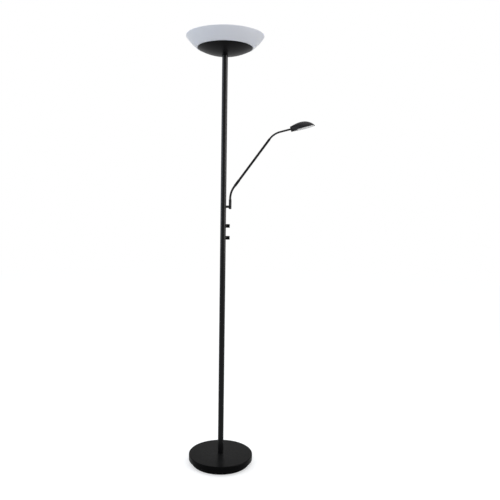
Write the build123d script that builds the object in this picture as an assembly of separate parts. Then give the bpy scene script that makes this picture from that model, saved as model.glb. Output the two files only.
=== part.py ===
from build123d import *
import math
import os

# Torchiere floor lamp with a reading light on a flexible arm.
# Millimetres. +Z is up, the pole stands on the Z axis, the arm reaches along +X,
# the cord entry is at the back (+Y), and the rubber feet touch the floor at z = 0.

# ---------------------------------------------------------------- base
BASE_DIAMETER = 272.2          # pressed steel cover
BASE_SKIRT = 22.4              # height of the cover's side
COVER_WALL = 1.5
COVER_EDGE_RADIUS = 3.0
PLINTH_SETBACK = 11.7          # plastic housing, set back under the cover's side
PLINTH_SHOWN = 15.6            # height of the plinth between the feet and the cover
PLINTH_WALL = 2.5
BALLAST_LAP = 1.6              # how far the ballast reaches over the plinth's wall
BALLAST_THICKNESS = 14.0
FOOT_DIAMETER = 18.0
FOOT_DROP = 1.2                # how far a foot stands out of the plinth
FOOT_RECESS = 0.8
FOOT_COUNT = 4
FOOT_INSET = 19.4              # circle of the feet and screws, in from the plinth's side
SCREW_TURN = 20.0              # first screw, from the arm's side
BASE_SCREW_DIAMETER = 4.0
BASE_SCREW_HEAD = 7.4
BASE_SCREW_GRIP = 8.0          # length of screw inside the ballast
BOSS_WALL = 3.2
GLAND_BORE = 6.4               # passage for the supply cord
GLAND_WALL = 1.7
GLAND_FLANGE = 2.0
GLAND_DEPTH = 12.0
DRIVER_LENGTH = 118.0
DRIVER_WIDTH = 46.0
DRIVER_HEIGHT = 17.0
DRIVER_OFFSET = 52.0
TERMINAL_LENGTH = 36.0
TERMINAL_WIDTH = 18.0
TERMINAL_HEIGHT = 13.0
TERMINAL_OFFSET = 56.0

# ---------------------------------------------------------------- pole
POLE_DIAMETER = 24.0
POLE_WALL = 1.2
LOWER_POLE = 580.0
MIDDLE_POLE = 560.0
UPPER_POLE = 543.7
COUPLER_LENGTH = 56.0
COUPLER_WALL = 2.2
PLUG_LENGTH = 26.0
NIPPLE_DIAMETER = 10.0         # hollow threaded rod at both ends of the pole
NIPPLE_BORE = 6.5
NIPPLE_GRIP = 18.0             # length of rod inside a plug
NUT_SIZE = 17.0                # across flats
NUT_HEIGHT = 4.5
WASHER_DIAMETER = 30.0
WASHER_HEIGHT = 2.0
CABLE_DIAMETER = 4.0
CABLE_GAP = 0.6                # between the cable and the couplers

# ---------------------------------------------------------------- dimmers and knobs
KNOB_LOW = 347.4               # lower knob above the foot of the middle pole
KNOB_SPACING = 50.0
KNOB_DIAMETER = 15.8
KNOB_LENGTH = 15.2
KNOB_GAP = 0.8                 # running gap between knob and pole
KNOB_CROWN = 1.4
POCKET_PLAY = 0.5              # round the bushing nut inside the knob
POCKET_OVER_NUT = 1.4
SHAFT_DIAMETER = 6.0
SHAFT_GRIP = 8.5               # length of shaft inside the knob
DIMMER_DIAMETER = 16.0
DIMMER_DEPTH = 7.5
DIMMER_SHAFT_SEAT = 4.0
BUSHING_DIAMETER = 7.0
BUSHING_REACH = 4.6            # bushing outside the pole
BUSHING_NUT = 10.0
BUSHING_NUT_HEIGHT = 2.0

# ---------------------------------------------------------------- arm
STUB_RISE = 478.1              # stub above the foot of the middle pole
STUB_DIAMETER = 10.4
STUB_SHANK = 8.0
STUB_BORE = 4.4
SLEEVE_REACH = 28.4            # sleeve axis from the pole axis
SLEEVE_WALL = 1.15
SLEEVE_BELOW = 9.9
SLEEVE_ABOVE = 30.6
SLEEVE_EDGE = 2.0
SADDLE_DIAMETER = 14.0
STUB_NUT = 13.0
STUB_NUT_HEIGHT = 4.2
ARM_RISE = 54.0                # slope of the straight tube above the horizontal
FERRULE_WALL = 0.65
FERRULE_LENGTH = 31.0
ARM_TUBE_WALL = 0.9
ARM_TUBE_LENGTH = 244.0        # from the end of the lower neck to the end of the tube
LOWER_NECK_DIAMETER = 9.3
LOWER_NECK_BEND = 85.1         # radius of its curve as the lamp stands
LOWER_NECK_LEAD = 3.3
UPPER_NECK_DIAMETER = 8.0
UPPER_NECK_BEND = 78.0
UPPER_NECK_TAIL = 44.6
NECK_SEAT = 8.0                # length of a neck's plain end inside its socket
NECK_WALL = 1.6
RIB_DEPTH = 0.55
RIB_PITCH = 4.4

# ---------------------------------------------------------------- reading head
HEAD_RISE = 15.0               # slope of the head as the lamp stands
HEAD_LENGTH = 101.0
HEAD_WIDTH = 70.0
HEAD_HEIGHT = 30.8
HEAD_HIGHEST = 46.0            # distance of the highest section from the back
HEAD_WIDEST = 60.0
COLLAR_DIAMETER = 23.5
COLLAR_LENGTH = 4.0
COLLAR_BACK = 24.0             # solid length behind the hollow
HEAD_WALL = 1.8
HEAD_RIM = 3.0                 # height of the rolled rim
LENS_THICKNESS = 2.0
LENS_RECESS = 0.6
BOARD_THICKNESS = 1.6
BOARD_LEVEL = 12.0
REFLECTOR_WALL = 1.0
SET_SCREW_DIAMETER = 3.0
SET_SCREW_LENGTH = 5.0

# ---------------------------------------------------------------- bowl
CUP_DIAMETER = 229.0
CUP_HEIGHT = 29.1
CUP_WALL = 1.2
CUP_LIP = 5.5
SEAT_MARGIN = 2.0              # flat seat of the cup beyond the pole
SEAL_HEIGHT = 1.0
SEAL_INSET = 1.0
BOWL_DIAMETER = 325.2          # before its edge is rounded
BOWL_HEIGHT = 47.0
BOWL_OVERHANG = 3.5            # foot of the glass, out from the cup's rim
BOWL_FLANGE = 12.0             # width of the flat foot ring
GLASS = 4.0
GLASS_EDGE = 1.6
CARRIER_LAP = 6.0              # how far the carrier plate covers the foot ring
CARRIER_THICKNESS = 2.0
LED_RING_INSET = 12.0          # inside the diffuser
LED_RING_WIDTH = 62.0
LED_RING_THICKNESS = 1.6
LED_COUNT = 18
LED_SIZE = 4.0
LED_HEIGHT = 0.8
DIFFUSER_INSET = 8.0           # inside the carrier plate's edge
DIFFUSER_HEIGHT = 10.0
DIFFUSER_WALL = 2.0
NIPPLE_OVERRUN = 1.0           # rod beyond its last nut

# ---------------------------------------------------------------- clearances
FIT = 0.05                     # radial, pieces that are pushed or screwed together
RUN = 0.05                     # radial, shaft in its bushing
PLAY = 0.3                     # loose pieces and clearance holes

# ---------------------------------------------------------------- levels and radii that follow
plinth_z = FOOT_DROP
skirt_z = plinth_z + PLINTH_SHOWN
base_z = skirt_z + BASE_SKIRT
ballast_top = base_z - COVER_WALL
ballast_z = ballast_top - BALLAST_THICKNESS
middle_z = base_z + LOWER_POLE
upper_z = middle_z + MIDDLE_POLE
cup_z = upper_z + UPPER_POLE
rim_z = cup_z + CUP_HEIGHT
glass_z = rim_z + SEAL_HEIGHT
carrier_z = glass_z + GLASS
board_z = carrier_z + CARRIER_THICKNESS
bowl_z = glass_z + BOWL_HEIGHT
stub_z = middle_z + STUB_RISE
knob_levels = [middle_z + KNOB_LOW, middle_z + KNOB_LOW + KNOB_SPACING]
pole_r = POLE_DIAMETER / 2
pole_bore = pole_r - POLE_WALL
nipple_r = NIPPLE_DIAMETER / 2
hole_r = nipple_r + PLAY
knob_x = pole_r + KNOB_GAP
neck_turn = 90.0 - ARM_RISE
head_turn = ARM_RISE - HEAD_RISE
plinth_r = BASE_DIAMETER / 2 - PLINTH_SETBACK
foot_circle = plinth_r - FOOT_INSET
gland_flange_r = GLAND_BORE / 2 + 2 * GLAND_WALL
gland_z = plinth_z + PLINTH_WALL + gland_flange_r + PLAY
cable_x = CABLE_GAP + CABLE_DIAMETER / 2 + COUPLER_WALL + FIT - pole_bore
lower_socket_r = LOWER_NECK_DIAMETER / 2 + 2 * FIT
upper_socket_r = UPPER_NECK_DIAMETER / 2 + 2 * FIT
sleeve_r = lower_socket_r + SLEEVE_WALL
arm_tube_r = upper_socket_r + ARM_TUBE_WALL
ferrule_r = arm_tube_r + FIT + FERRULE_WALL
foot_ring_r = CUP_DIAMETER / 2 + BOWL_OVERHANG
mouth_r = foot_ring_r - BOWL_FLANGE
carrier_r = mouth_r + CARRIER_LAP
diffuser_r = carrier_r - DIFFUSER_INSET
led_ring_r = diffuser_r - LED_RING_INSET


# ---------------------------------------------------------------- common shapes
def disc(radius, bottom, top):
    return Pos(0, 0, bottom) * extrude(Circle(radius), top - bottom)


def ring(radius, bore, bottom, top):
    return disc(radius, bottom, top) - disc(bore, bottom - 1, top + 1)


def facing_x(start, z):
    """Plane across +X at the given point of the XZ plane."""
    return Plane(origin=(start, 0, z), x_dir=(0, 1, 0), z_dir=(1, 0, 0))


def bar_x(radius, start, end, z):
    """Round bar along +X at height z."""
    return extrude(facing_x(start, z) * Circle(radius), end - start)


def nut(size, height, bore):
    """Hexagon nut that stands on its plane."""
    return extrude(RegularPolygon(size / math.sqrt(3), 6) - Circle(bore), height)


def around(count, radius, first=0.0):
    """Points of a bolt circle, as (x, y) pairs."""
    turns = [math.radians(first + 360 * i / count) for i in range(count)]
    return [(radius * math.cos(a), radius * math.sin(a)) for a in turns]


def dome_centre(r_low, z_low, r_high, z_high):
    """Height of the centre of the sphere that holds both circles."""
    return (r_high**2 - r_low**2 + z_high**2 - z_low**2) / (2 * (z_high - z_low))


def dome_z(centre, radius, r):
    """Height of the sphere's lower half at distance r from the axis."""
    return centre - math.sqrt(radius**2 - r**2)


def dome_r(centre, radius, z):
    """Distance from the axis of the sphere's lower half at height z."""
    return math.sqrt(radius**2 - (centre - z) ** 2)


def dome_arc(centre, radius, r_start, r_end):
    """Meridian of the sphere's lower half between two distances from the axis."""
    points = [(r, dome_z(centre, radius, r)) for r in (r_start, (r_start + r_end) / 2, r_end)]
    return ThreePointArc(*points)


def turned(*edges):
    """Body of revolution from the edges of a closed half profile in (r, z)."""
    return revolve(Plane.XZ * make_face(edges), Axis.Z)


# ---------------------------------------------------------------- base
def base_cover():
    """Pressed cover: a flat round top, a rounded edge and a straight side."""
    outer = disc(BASE_DIAMETER / 2, skirt_z, base_z)
    outer = fillet(outer.edges().sort_by(Axis.Z)[-1], COVER_EDGE_RADIUS)
    inner = disc(BASE_DIAMETER / 2 - COVER_WALL, skirt_z, ballast_top)
    inner = fillet(inner.edges().sort_by(Axis.Z)[-1], COVER_EDGE_RADIUS - COVER_WALL)
    return outer - inner - disc(hole_r, ballast_top - 1, base_z + 1)


def base_ballast():
    """Cast disc with tapped holes for the plinth screws."""
    body = disc(plinth_r + BALLAST_LAP, ballast_z, ballast_top)
    body = chamfer(body.edges(), BALLAST_THICKNESS / 10)
    tapped = disc(BASE_SCREW_DIAMETER / 2 + FIT, ballast_z - 1, ballast_z + BASE_SCREW_GRIP + PLAY)
    holes = [Pos(x, y) * tapped for x, y in screw_points()]
    return body - disc(hole_r, ballast_z - 1, ballast_top + 1) - holes


def screw_points():
    return around(FOOT_COUNT, foot_circle, SCREW_TURN)


def foot_points():
    return around(FOOT_COUNT, foot_circle, SCREW_TURN + 180 / FOOT_COUNT)


def plinth_floor():
    return plinth_z + PLINTH_WALL


def base_plinth():
    """Tray for the supply parts, with screw posts, foot recesses and the cord hole."""
    body = disc(plinth_r, plinth_z, ballast_z)
    body -= disc(plinth_r - PLINTH_WALL, plinth_floor(), ballast_z + 1)
    hole = BASE_SCREW_DIAMETER / 2 + PLAY
    head = BASE_SCREW_HEAD / 2 + PLAY
    post = disc(hole + BOSS_WALL, plinth_z, ballast_z)
    bored = disc(hole, plinth_z - 1, ballast_z + 1)
    sunk = disc(head, plinth_z - 1, plinth_z + BASE_SCREW_DIAMETER * 0.6)
    body += [Pos(x, y) * post for x, y in screw_points()]
    body -= [Pos(x, y) * bored for x, y in screw_points()]
    body -= [Pos(x, y) * sunk for x, y in screw_points()]
    recess = disc(FOOT_DIAMETER / 2 + FIT, plinth_z - 1, plinth_z + FOOT_RECESS)
    body -= [Pos(x, y) * recess for x, y in foot_points()]
    return body - gland_hole()


def gland_plane(y):
    """Plane across the cord passage at the back of the plinth."""
    return Plane(origin=(0, y, gland_z), x_dir=(1, 0, 0), z_dir=(0, 1, 0))


def gland_hole():
    radius = GLAND_BORE / 2 + GLAND_WALL + FIT
    return extrude(gland_plane(plinth_r - GLAND_DEPTH) * Circle(radius), 2 * GLAND_DEPTH)


def cord_gland():
    """Bushing with an outer and an inner flange, open right through."""
    radius = GLAND_BORE / 2 + GLAND_WALL
    inner = plinth_r - PLINTH_WALL - PLAY
    body = extrude(gland_plane(plinth_r + GLAND_FLANGE - GLAND_DEPTH) * Circle(radius), GLAND_DEPTH)
    body += extrude(gland_plane(plinth_r + FIT) * Circle(gland_flange_r), GLAND_FLANGE - FIT)
    body += extrude(gland_plane(inner - GLAND_FLANGE) * Circle(gland_flange_r), GLAND_FLANGE)
    return body - extrude(gland_plane(plinth_r - 2 * GLAND_DEPTH) * Circle(GLAND_BORE / 2), 4 * GLAND_DEPTH)


def base_feet():
    foot = chamfer(disc(FOOT_DIAMETER / 2, 0, plinth_z + FOOT_RECESS).edges(), FOOT_DROP / 4)
    return [Pos(x, y) * foot for x, y in foot_points()]


def plinth_screws():
    """Countersunk-head screws that hold the plinth under the ballast."""
    head_z = plinth_z + BASE_SCREW_DIAMETER * 0.6
    screw = disc(BASE_SCREW_DIAMETER / 2, plinth_z + FIT, ballast_z + BASE_SCREW_GRIP)
    screw += disc(BASE_SCREW_HEAD / 2, plinth_z + FIT, head_z)
    slot = Pos(0, 0, plinth_z) * Box(BASE_SCREW_HEAD * 0.8, 1.0, 1.6)
    screw -= slot + Rot(0, 0, 90) * slot
    return [Pos(x, y) * screw for x, y in screw_points()]


def led_driver():
    """Closed supply unit that lies in the plinth, with a mounting ear at each end."""
    upright = (Align.CENTER, Align.CENTER, Align.MIN)
    case = Box(DRIVER_LENGTH, DRIVER_WIDTH, DRIVER_HEIGHT, align=upright)
    case = fillet(case.edges().filter_by(Axis.Z), DRIVER_WIDTH / 12)
    ears = Box(DRIVER_LENGTH + 12, DRIVER_WIDTH / 2, PLINTH_WALL, align=upright)
    return Pos(0, DRIVER_OFFSET, plinth_floor()) * (case + ears)


def terminal_block():
    """Three-pole connector with its screw wells."""
    upright = (Align.CENTER, Align.CENTER, Align.MIN)
    body = Box(TERMINAL_LENGTH, TERMINAL_WIDTH, TERMINAL_HEIGHT, align=upright)
    pitch = TERMINAL_LENGTH / 3
    for i in (-1, 0, 1):
        body -= Pos(i * pitch, 0, TERMINAL_HEIGHT - 4) * extrude(Circle(pitch / 4), 5)
        wire = Plane(origin=(i * pitch, -TERMINAL_WIDTH, TERMINAL_HEIGHT / 3), z_dir=(0, 1, 0))
        body -= extrude(wire * Circle(pitch / 6), 2 * TERMINAL_WIDTH)
    return Pos(0, -TERMINAL_OFFSET, plinth_floor()) * body


def base_rod():
    """Hollow threaded rod from the nut under the ballast into the pole's plug."""
    bottom = ballast_z - WASHER_HEIGHT - NUT_HEIGHT - NIPPLE_OVERRUN
    return ring(nipple_r, NIPPLE_BORE / 2, bottom, base_z + NIPPLE_GRIP)


def base_washer():
    return ring(WASHER_DIAMETER / 2, hole_r, ballast_z - WASHER_HEIGHT, ballast_z)


def base_nut():
    top = ballast_z - WASHER_HEIGHT
    return Pos(0, 0, top - NUT_HEIGHT) * nut(NUT_SIZE, NUT_HEIGHT, nipple_r + FIT)


# ---------------------------------------------------------------- pole
def pole_section(bottom, top):
    """One tube of the pole, its two ends broken by a hairline chamfer."""
    body = disc(pole_r, bottom, top)
    body = chamfer(body.edges(), POLE_WALL / 6)
    return body - disc(pole_bore, bottom - 1, top + 1)


def pole_lower():
    return pole_section(base_z, middle_z)


def pole_middle():
    """Middle tube, drilled for the two dimmer bushings and for the arm's stub."""
    body = pole_section(middle_z, upper_z)
    for z in knob_levels:
        body -= bar_x(BUSHING_DIAMETER / 2 + FIT, 0, POLE_DIAMETER, z)
    return body - bar_x(STUB_SHANK / 2 + FIT, 0, POLE_DIAMETER, stub_z)


def pole_upper():
    return pole_section(upper_z, cup_z)


def pole_plugs():
    """Threaded plugs in the two ends of the pole."""
    radius = pole_bore - FIT
    low = ring(radius, nipple_r + FIT, base_z, base_z + PLUG_LENGTH)
    high = ring(radius, nipple_r + FIT, cup_z - PLUG_LENGTH, cup_z)
    return [low, high]


def pole_couplers():
    """Hollow connectors inside the two seams of the pole."""
    radius = pole_bore - FIT
    half = COUPLER_LENGTH / 2
    return [ring(radius, radius - COUPLER_WALL, z - half, z + half) for z in (middle_z, upper_z)]


def pole_cable():
    """Inner wiring, from the lower plug to the upper plug, behind the dimmers."""
    wire = disc(CABLE_DIAMETER / 2, base_z + PLUG_LENGTH, cup_z - PLUG_LENGTH)
    return Pos(cable_x, 0) * wire


# ---------------------------------------------------------------- dimmers and knobs
def dimmer_face():
    """Distance of the dimmer's front from the pole axis, where its edge meets the tube."""
    return math.sqrt(pole_bore**2 - (DIMMER_DIAMETER / 2) ** 2) - FIT


def dimmer(z):
    """Rotary dimmer: round body inside the pole, threaded bushing through its wall."""
    front = dimmer_face()
    seat = front - DIMMER_SHAFT_SEAT
    body = bar_x(DIMMER_DIAMETER / 2, front - DIMMER_DEPTH, front, z)
    body += bar_x(BUSHING_DIAMETER / 2, front, pole_r + BUSHING_REACH, z)
    return body - bar_x(SHAFT_DIAMETER / 2 + RUN, seat, KNOB_LENGTH * 2, z)


def dimmer_nut(z):
    hexagon = nut(BUSHING_NUT, BUSHING_NUT_HEIGHT, BUSHING_DIAMETER / 2 + FIT)
    return facing_x(pole_r + FIT, z) * hexagon


def shaft(z):
    """Dimmer shaft, with the flat that the knob sits on."""
    start = dimmer_face() - DIMMER_SHAFT_SEAT + FIT
    end = knob_tip() - KNOB_LENGTH + SHAFT_GRIP
    body = bar_x(SHAFT_DIAMETER / 2, start, end, z)
    flat = Box(SHAFT_GRIP, SHAFT_DIAMETER, SHAFT_DIAMETER)
    return body - Pos(end, 0, z + SHAFT_DIAMETER * 0.75) * flat


def knob_tip():
    return knob_x + KNOB_LENGTH


def knob(z):
    """Round push-on knob with a domed edge, hollow at the back over the bushing nut."""
    body = bar_x(KNOB_DIAMETER / 2, knob_x, knob_tip(), z)
    body = fillet(body.edges().sort_by(Axis.X)[-1], KNOB_CROWN)
    pocket = BUSHING_NUT / math.sqrt(3) + POCKET_PLAY
    body -= bar_x(pocket, knob_x - 1, knob_x + BUSHING_NUT_HEIGHT + POCKET_OVER_NUT, z)
    body -= bar_x(BUSHING_DIAMETER / 2 + PLAY, knob_x, pole_r + BUSHING_REACH + PLAY, z)
    return body - bar_x(SHAFT_DIAMETER / 2 + FIT, knob_x, knob_tip() - KNOB_LENGTH + SHAFT_GRIP + FIT, z)


# ---------------------------------------------------------------- arm
def arm_plane(x, z, rise):
    """Plane across the arm; its Y axis points to the arm's upper side."""
    a = math.radians(rise)
    return Plane(origin=(x, 0, z), x_dir=(0, 1, 0), z_dir=(math.cos(a), 0, math.sin(a)))


def neck_point(start, lead, bend, turn, s):
    """Plane at length s of a neck: straight lead, arc of radius bend, straight on."""
    x, z, rise = start
    a = math.radians(rise)
    arc = bend * math.radians(turn)
    on_arc = min(max(s - lead, 0.0), arc)
    b = a - on_arc / bend
    straight = min(s, lead)
    after = max(s - lead - arc, 0.0)
    x += straight * math.cos(a) + bend * (math.sin(a) - math.sin(b)) + after * math.cos(b)
    z += straight * math.sin(a) + bend * (math.cos(b) - math.cos(a)) + after * math.sin(b)
    return x, z, math.degrees(b)


def lower_neck_at(s):
    start = (SLEEVE_REACH, stub_z + SLEEVE_ABOVE, 90.0)
    return neck_point(start, LOWER_NECK_LEAD, LOWER_NECK_BEND, neck_turn, s)


def lower_neck_length():
    return 2 * LOWER_NECK_LEAD + LOWER_NECK_BEND * math.radians(neck_turn)


def arm_at(s):
    """Plane at length s of the straight tube, from the end of the lower neck."""
    return neck_point(lower_neck_at(lower_neck_length()), s, UPPER_NECK_BEND, 0.0, s)


def upper_neck_at(s):
    return neck_point(arm_at(ARM_TUBE_LENGTH), 0.0, UPPER_NECK_BEND, head_turn, s)


def upper_neck_length():
    return UPPER_NECK_TAIL + UPPER_NECK_BEND * math.radians(head_turn)


def neck(at, length, diameter):
    """Flexible neck: ribs of a wound tube along its curve, plain ends, open bore."""
    crest = diameter / 2
    root = crest - RIB_DEPTH
    count = max(2, round(length / RIB_PITCH))
    pitch = length / count
    rings = [(-NECK_SEAT, crest), (0.0, crest)]
    for i in range(count):
        s = i * pitch
        rings += [(s + 0.2 * pitch, root), (s + 0.35 * pitch, root), (s + 0.5 * pitch, crest), (s + pitch, crest)]
    rings.append((length + NECK_SEAT, crest))
    body = loft([arm_plane(*at(s)) * Circle(r) for s, r in rings], ruled=True)
    steps = [length * i / count for i in range(count + 1)]
    bore = [arm_plane(*at(s)) * Circle(root - NECK_WALL) for s in [-NECK_SEAT - 1] + steps + [length + NECK_SEAT + 1]]
    return body - loft(bore, ruled=True)


def arm_bar(radius, start, end):
    """Round bar along the straight part of the arm."""
    return extrude(arm_plane(*arm_at(start)) * Circle(radius), end - start)


def arm_bracket():
    """Stub through the pole wall with the upright sleeve that holds the lower neck."""
    bottom = stub_z - SLEEVE_BELOW
    top = stub_z + SLEEVE_ABOVE
    sleeve = disc(sleeve_r, bottom, top)
    sleeve = fillet(sleeve.edges().sort_by(Axis.Z)[0], SLEEVE_EDGE)
    body = Pos(SLEEVE_REACH, 0) * sleeve
    body += bar_x(STUB_DIAMETER / 2, 0, SLEEVE_REACH, stub_z) - disc(pole_r + FIT, bottom, top)
    body += bar_x(STUB_SHANK / 2, stub_shank_start(), SLEEVE_REACH, stub_z)
    seat = disc(lower_socket_r, top - NECK_SEAT - PLAY, top + 1)
    passage = disc(STUB_BORE / 2, stub_z, top)
    body -= Pos(SLEEVE_REACH, 0) * (seat + passage)
    return body - bar_x(STUB_BORE / 2, 0, SLEEVE_REACH, stub_z)


def saddle_flat():
    """Flat of the inner saddle from the pole axis, where the nut's corners clear the tube."""
    corner = STUB_NUT / math.sqrt(3)
    return math.sqrt(pole_bore**2 - corner**2) - PLAY


def stub_shank_start():
    return saddle_flat() - STUB_NUT_HEIGHT - NIPPLE_OVERRUN


def bracket_saddle():
    """Washer with a round face that fills the tube's inner curve under the nut."""
    body = bar_x(SADDLE_DIAMETER / 2, saddle_flat(), pole_r, stub_z)
    body &= disc(pole_bore - FIT, stub_z - SADDLE_DIAMETER, stub_z + SADDLE_DIAMETER)
    return body - bar_x(STUB_SHANK / 2 + FIT, 0, POLE_DIAMETER, stub_z)


def bracket_nut():
    hexagon = nut(STUB_NUT, STUB_NUT_HEIGHT, STUB_SHANK / 2 + FIT)
    return facing_x(saddle_flat() - STUB_NUT_HEIGHT, stub_z) * hexagon


def lower_gooseneck():
    return neck(lower_neck_at, lower_neck_length(), LOWER_NECK_DIAMETER)


def arm_ferrule():
    """Turned sleeve that joins the lower neck to the straight tube."""
    body = chamfer(arm_bar(ferrule_r, 0, FERRULE_LENGTH).edges(), FERRULE_WALL / 2)
    body -= arm_bar(lower_socket_r, -1, NECK_SEAT + PLAY)
    return body - arm_bar(arm_tube_r + FIT, NECK_SEAT, FERRULE_LENGTH + 1)


def arm_tube():
    """Straight tube; its far end is the socket of the upper neck."""
    start = NECK_SEAT + 2 * PLAY
    body = arm_bar(arm_tube_r, start, ARM_TUBE_LENGTH)
    body = chamfer(body.edges(), ARM_TUBE_WALL / 2)
    return body - arm_bar(upper_socket_r, start - 1, ARM_TUBE_LENGTH + 1)


def upper_gooseneck():
    return neck(upper_neck_at, upper_neck_length(), UPPER_NECK_DIAMETER)


# ---------------------------------------------------------------- reading head
def head_plane(u):
    """Plane across the head at distance u from its back; Y is up, zero at the underside."""
    x, z, rise = upper_neck_at(upper_neck_length())
    plane = arm_plane(x, z, rise)
    return Plane(plane.from_local_coords((0, -COLLAR_DIAMETER / 2, u)), x_dir=(0, 1, 0), z_dir=plane.z_dir)


def head_section(u):
    """Half width, top height and height of the widest line of the head at u."""
    collar = COLLAR_DIAMETER / 2
    ease = min(max((u - COLLAR_LENGTH) / (HEAD_WIDEST - COLLAR_LENGTH), 0.0), 1.0)
    lift = min(max((u - COLLAR_LENGTH) / (HEAD_HIGHEST - COLLAR_LENGTH), 0.0), 1.0)
    half = collar + (HEAD_WIDTH / 2 - collar) * math.sin(math.pi / 2 * ease)
    top = COLLAR_DIAMETER + (HEAD_HEIGHT - COLLAR_DIAMETER) * math.sin(math.pi / 2 * lift)
    if u > HEAD_WIDEST:
        t = (u - HEAD_WIDEST) / (HEAD_LENGTH - HEAD_WIDEST)
        half *= math.sqrt(1 - t**2.2)
    if u > HEAD_HIGHEST:
        t = (u - HEAD_HIGHEST) / (HEAD_LENGTH - HEAD_HIGHEST)
        top *= (1 - t**2.2) ** 0.76
    drop = min(max((u - COLLAR_LENGTH) / COLLAR_BACK, 0.0), 1.0)
    middle = HEAD_RIM + (collar - HEAD_RIM) * (1 + math.cos(math.pi * drop)) / 2
    return half, top, min(middle, top / 2)


def head_face(u, wall, sink=0.0):
    """Cross-section of the head, drawn in by the wall; sink opens it downwards."""
    half, top, middle = head_section(u)
    width = half - wall
    upper = EllipticalCenterArc((0, middle), width, top - wall - middle, 0, arc_size=180)
    lower = EllipticalCenterArc((0, middle), width, middle - wall + sink, 180, arc_size=180)
    return head_plane(u) * make_face([upper, lower])


def head_stations(start, end, count):
    """Stations that draw together towards the tip."""
    return [start + (end - start) * math.sin(math.pi / 2 * i / count) for i in range(count + 1)]


def head_body():
    """Outer form: round collar, flared shoulders, domed back and round nose."""
    collar = extrude(head_plane(0) * Pos(0, COLLAR_DIAMETER / 2) * Circle(COLLAR_DIAMETER / 2), COLLAR_LENGTH)
    stations = head_stations(COLLAR_LENGTH, HEAD_LENGTH * 0.998, 9)
    return collar + loft([head_face(u, 0.0) for u in stations])


def head_hollow(wall):
    """Space inside the shell, open downwards through the underside."""
    end = HEAD_LENGTH - wall * 1.6
    stations = head_stations(COLLAR_BACK + wall, end, 7)
    return loft([head_face(u, wall, sink=2 * HEAD_RIM) for u in stations])


def head_slab(low, high):
    """Slice of the space between two heights above the underside."""
    plane = head_plane(0)
    floor = Plane(plane.from_local_coords((0, low, 0)), x_dir=(0, 1, 0), z_dir=plane.y_dir)
    return extrude(floor * Rectangle(2 * HEAD_WIDTH, 4 * HEAD_LENGTH), high - low)


def head_bore(radius, start, end):
    return extrude(head_plane(start) * Pos(0, COLLAR_DIAMETER / 2) * Circle(radius), end - start)


def set_screw_u():
    return NECK_SEAT / 2


def set_screw(radius, length, low):
    """Upright bar in the collar's underside, on the head's middle line."""
    plane = head_plane(set_screw_u())
    floor = Plane(plane.from_local_coords((0, low, 0)), x_dir=(0, 1, 0), z_dir=plane.y_dir)
    return extrude(floor * Circle(radius), length)


def head_shell():
    """Thin shell: domed over the light, open underneath, with the neck's socket at the back."""
    body = head_body() - head_hollow(HEAD_WALL)
    body -= head_bore(upper_socket_r, -1, NECK_SEAT + PLAY)
    body -= head_bore(STUB_BORE / 2, NECK_SEAT, COLLAR_BACK + 3 * HEAD_WALL)
    return body - set_screw(SET_SCREW_DIAMETER / 2 + FIT, COLLAR_DIAMETER / 2, -1)


def head_set_screw():
    """Grub screw that clamps the neck in the collar."""
    top = COLLAR_DIAMETER / 2 - upper_socket_r
    body = set_screw(SET_SCREW_DIAMETER / 2, SET_SCREW_LENGTH, top - SET_SCREW_LENGTH)
    return body - set_screw(SET_SCREW_DIAMETER / 4, SET_SCREW_LENGTH / 3, top - SET_SCREW_LENGTH - FIT)


def head_lens():
    """Frosted plate that closes the underside of the head."""
    return head_hollow(HEAD_WALL + PLAY) & head_slab(LENS_RECESS, LENS_RECESS + LENS_THICKNESS)


def head_board():
    """Metal-core board of the reading light, with its rows of light sources below."""
    body = head_hollow(HEAD_WALL + PLAY) & head_slab(BOARD_LEVEL, BOARD_LEVEL + BOARD_THICKNESS)
    plane = head_plane(0)
    under = Plane(plane.from_local_coords((0, BOARD_LEVEL, 0)), x_dir=(0, 1, 0), z_dir=-plane.y_dir)
    for u in (HEAD_HIGHEST, HEAD_WIDEST, 2 * HEAD_WIDEST - HEAD_HIGHEST):
        for side in (-1, 0, 1):
            spot = under * Pos(side * HEAD_WIDTH / 5, u) * Rectangle(LED_SIZE, LED_SIZE)
            body += extrude(spot, LED_HEIGHT)
    return body


def head_reflector():
    """White wall between the board and the plate."""
    low = LENS_RECESS + LENS_THICKNESS + FIT
    wall = head_hollow(HEAD_WALL + PLAY) - head_hollow(HEAD_WALL + PLAY + REFLECTOR_WALL)
    return wall & head_slab(low, BOARD_LEVEL - FIT)


# ---------------------------------------------------------------- bowl
def cup():
    """Spun dish: flat seat on the pole, round flank, lip turned in under the seal."""
    rim = CUP_DIAMETER / 2
    seat = pole_r + SEAT_MARGIN
    centre = dome_centre(seat, cup_z, rim, rim_z)
    outer = math.hypot(rim, centre - rim_z)
    inner = outer - CUP_WALL
    seat_in = dome_r(centre, inner, cup_z + CUP_WALL)
    flank_in = dome_r(centre, inner, rim_z - CUP_WALL)
    edges = [
        Line((hole_r, cup_z), (seat, cup_z)),
        dome_arc(centre, outer, seat, rim),
        Polyline((rim, rim_z), (rim - CUP_LIP, rim_z), (rim - CUP_LIP, rim_z - CUP_WALL), (flank_in, rim_z - CUP_WALL)),
        dome_arc(centre, inner, flank_in, seat_in),
        Polyline((seat_in, cup_z + CUP_WALL), (hole_r, cup_z + CUP_WALL), (hole_r, cup_z)),
    ]
    return turned(*edges)


def rim_seal():
    rim = CUP_DIAMETER / 2
    return ring(rim - SEAL_INSET, rim - CUP_LIP + SEAL_INSET, rim_z, glass_z)


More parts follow.
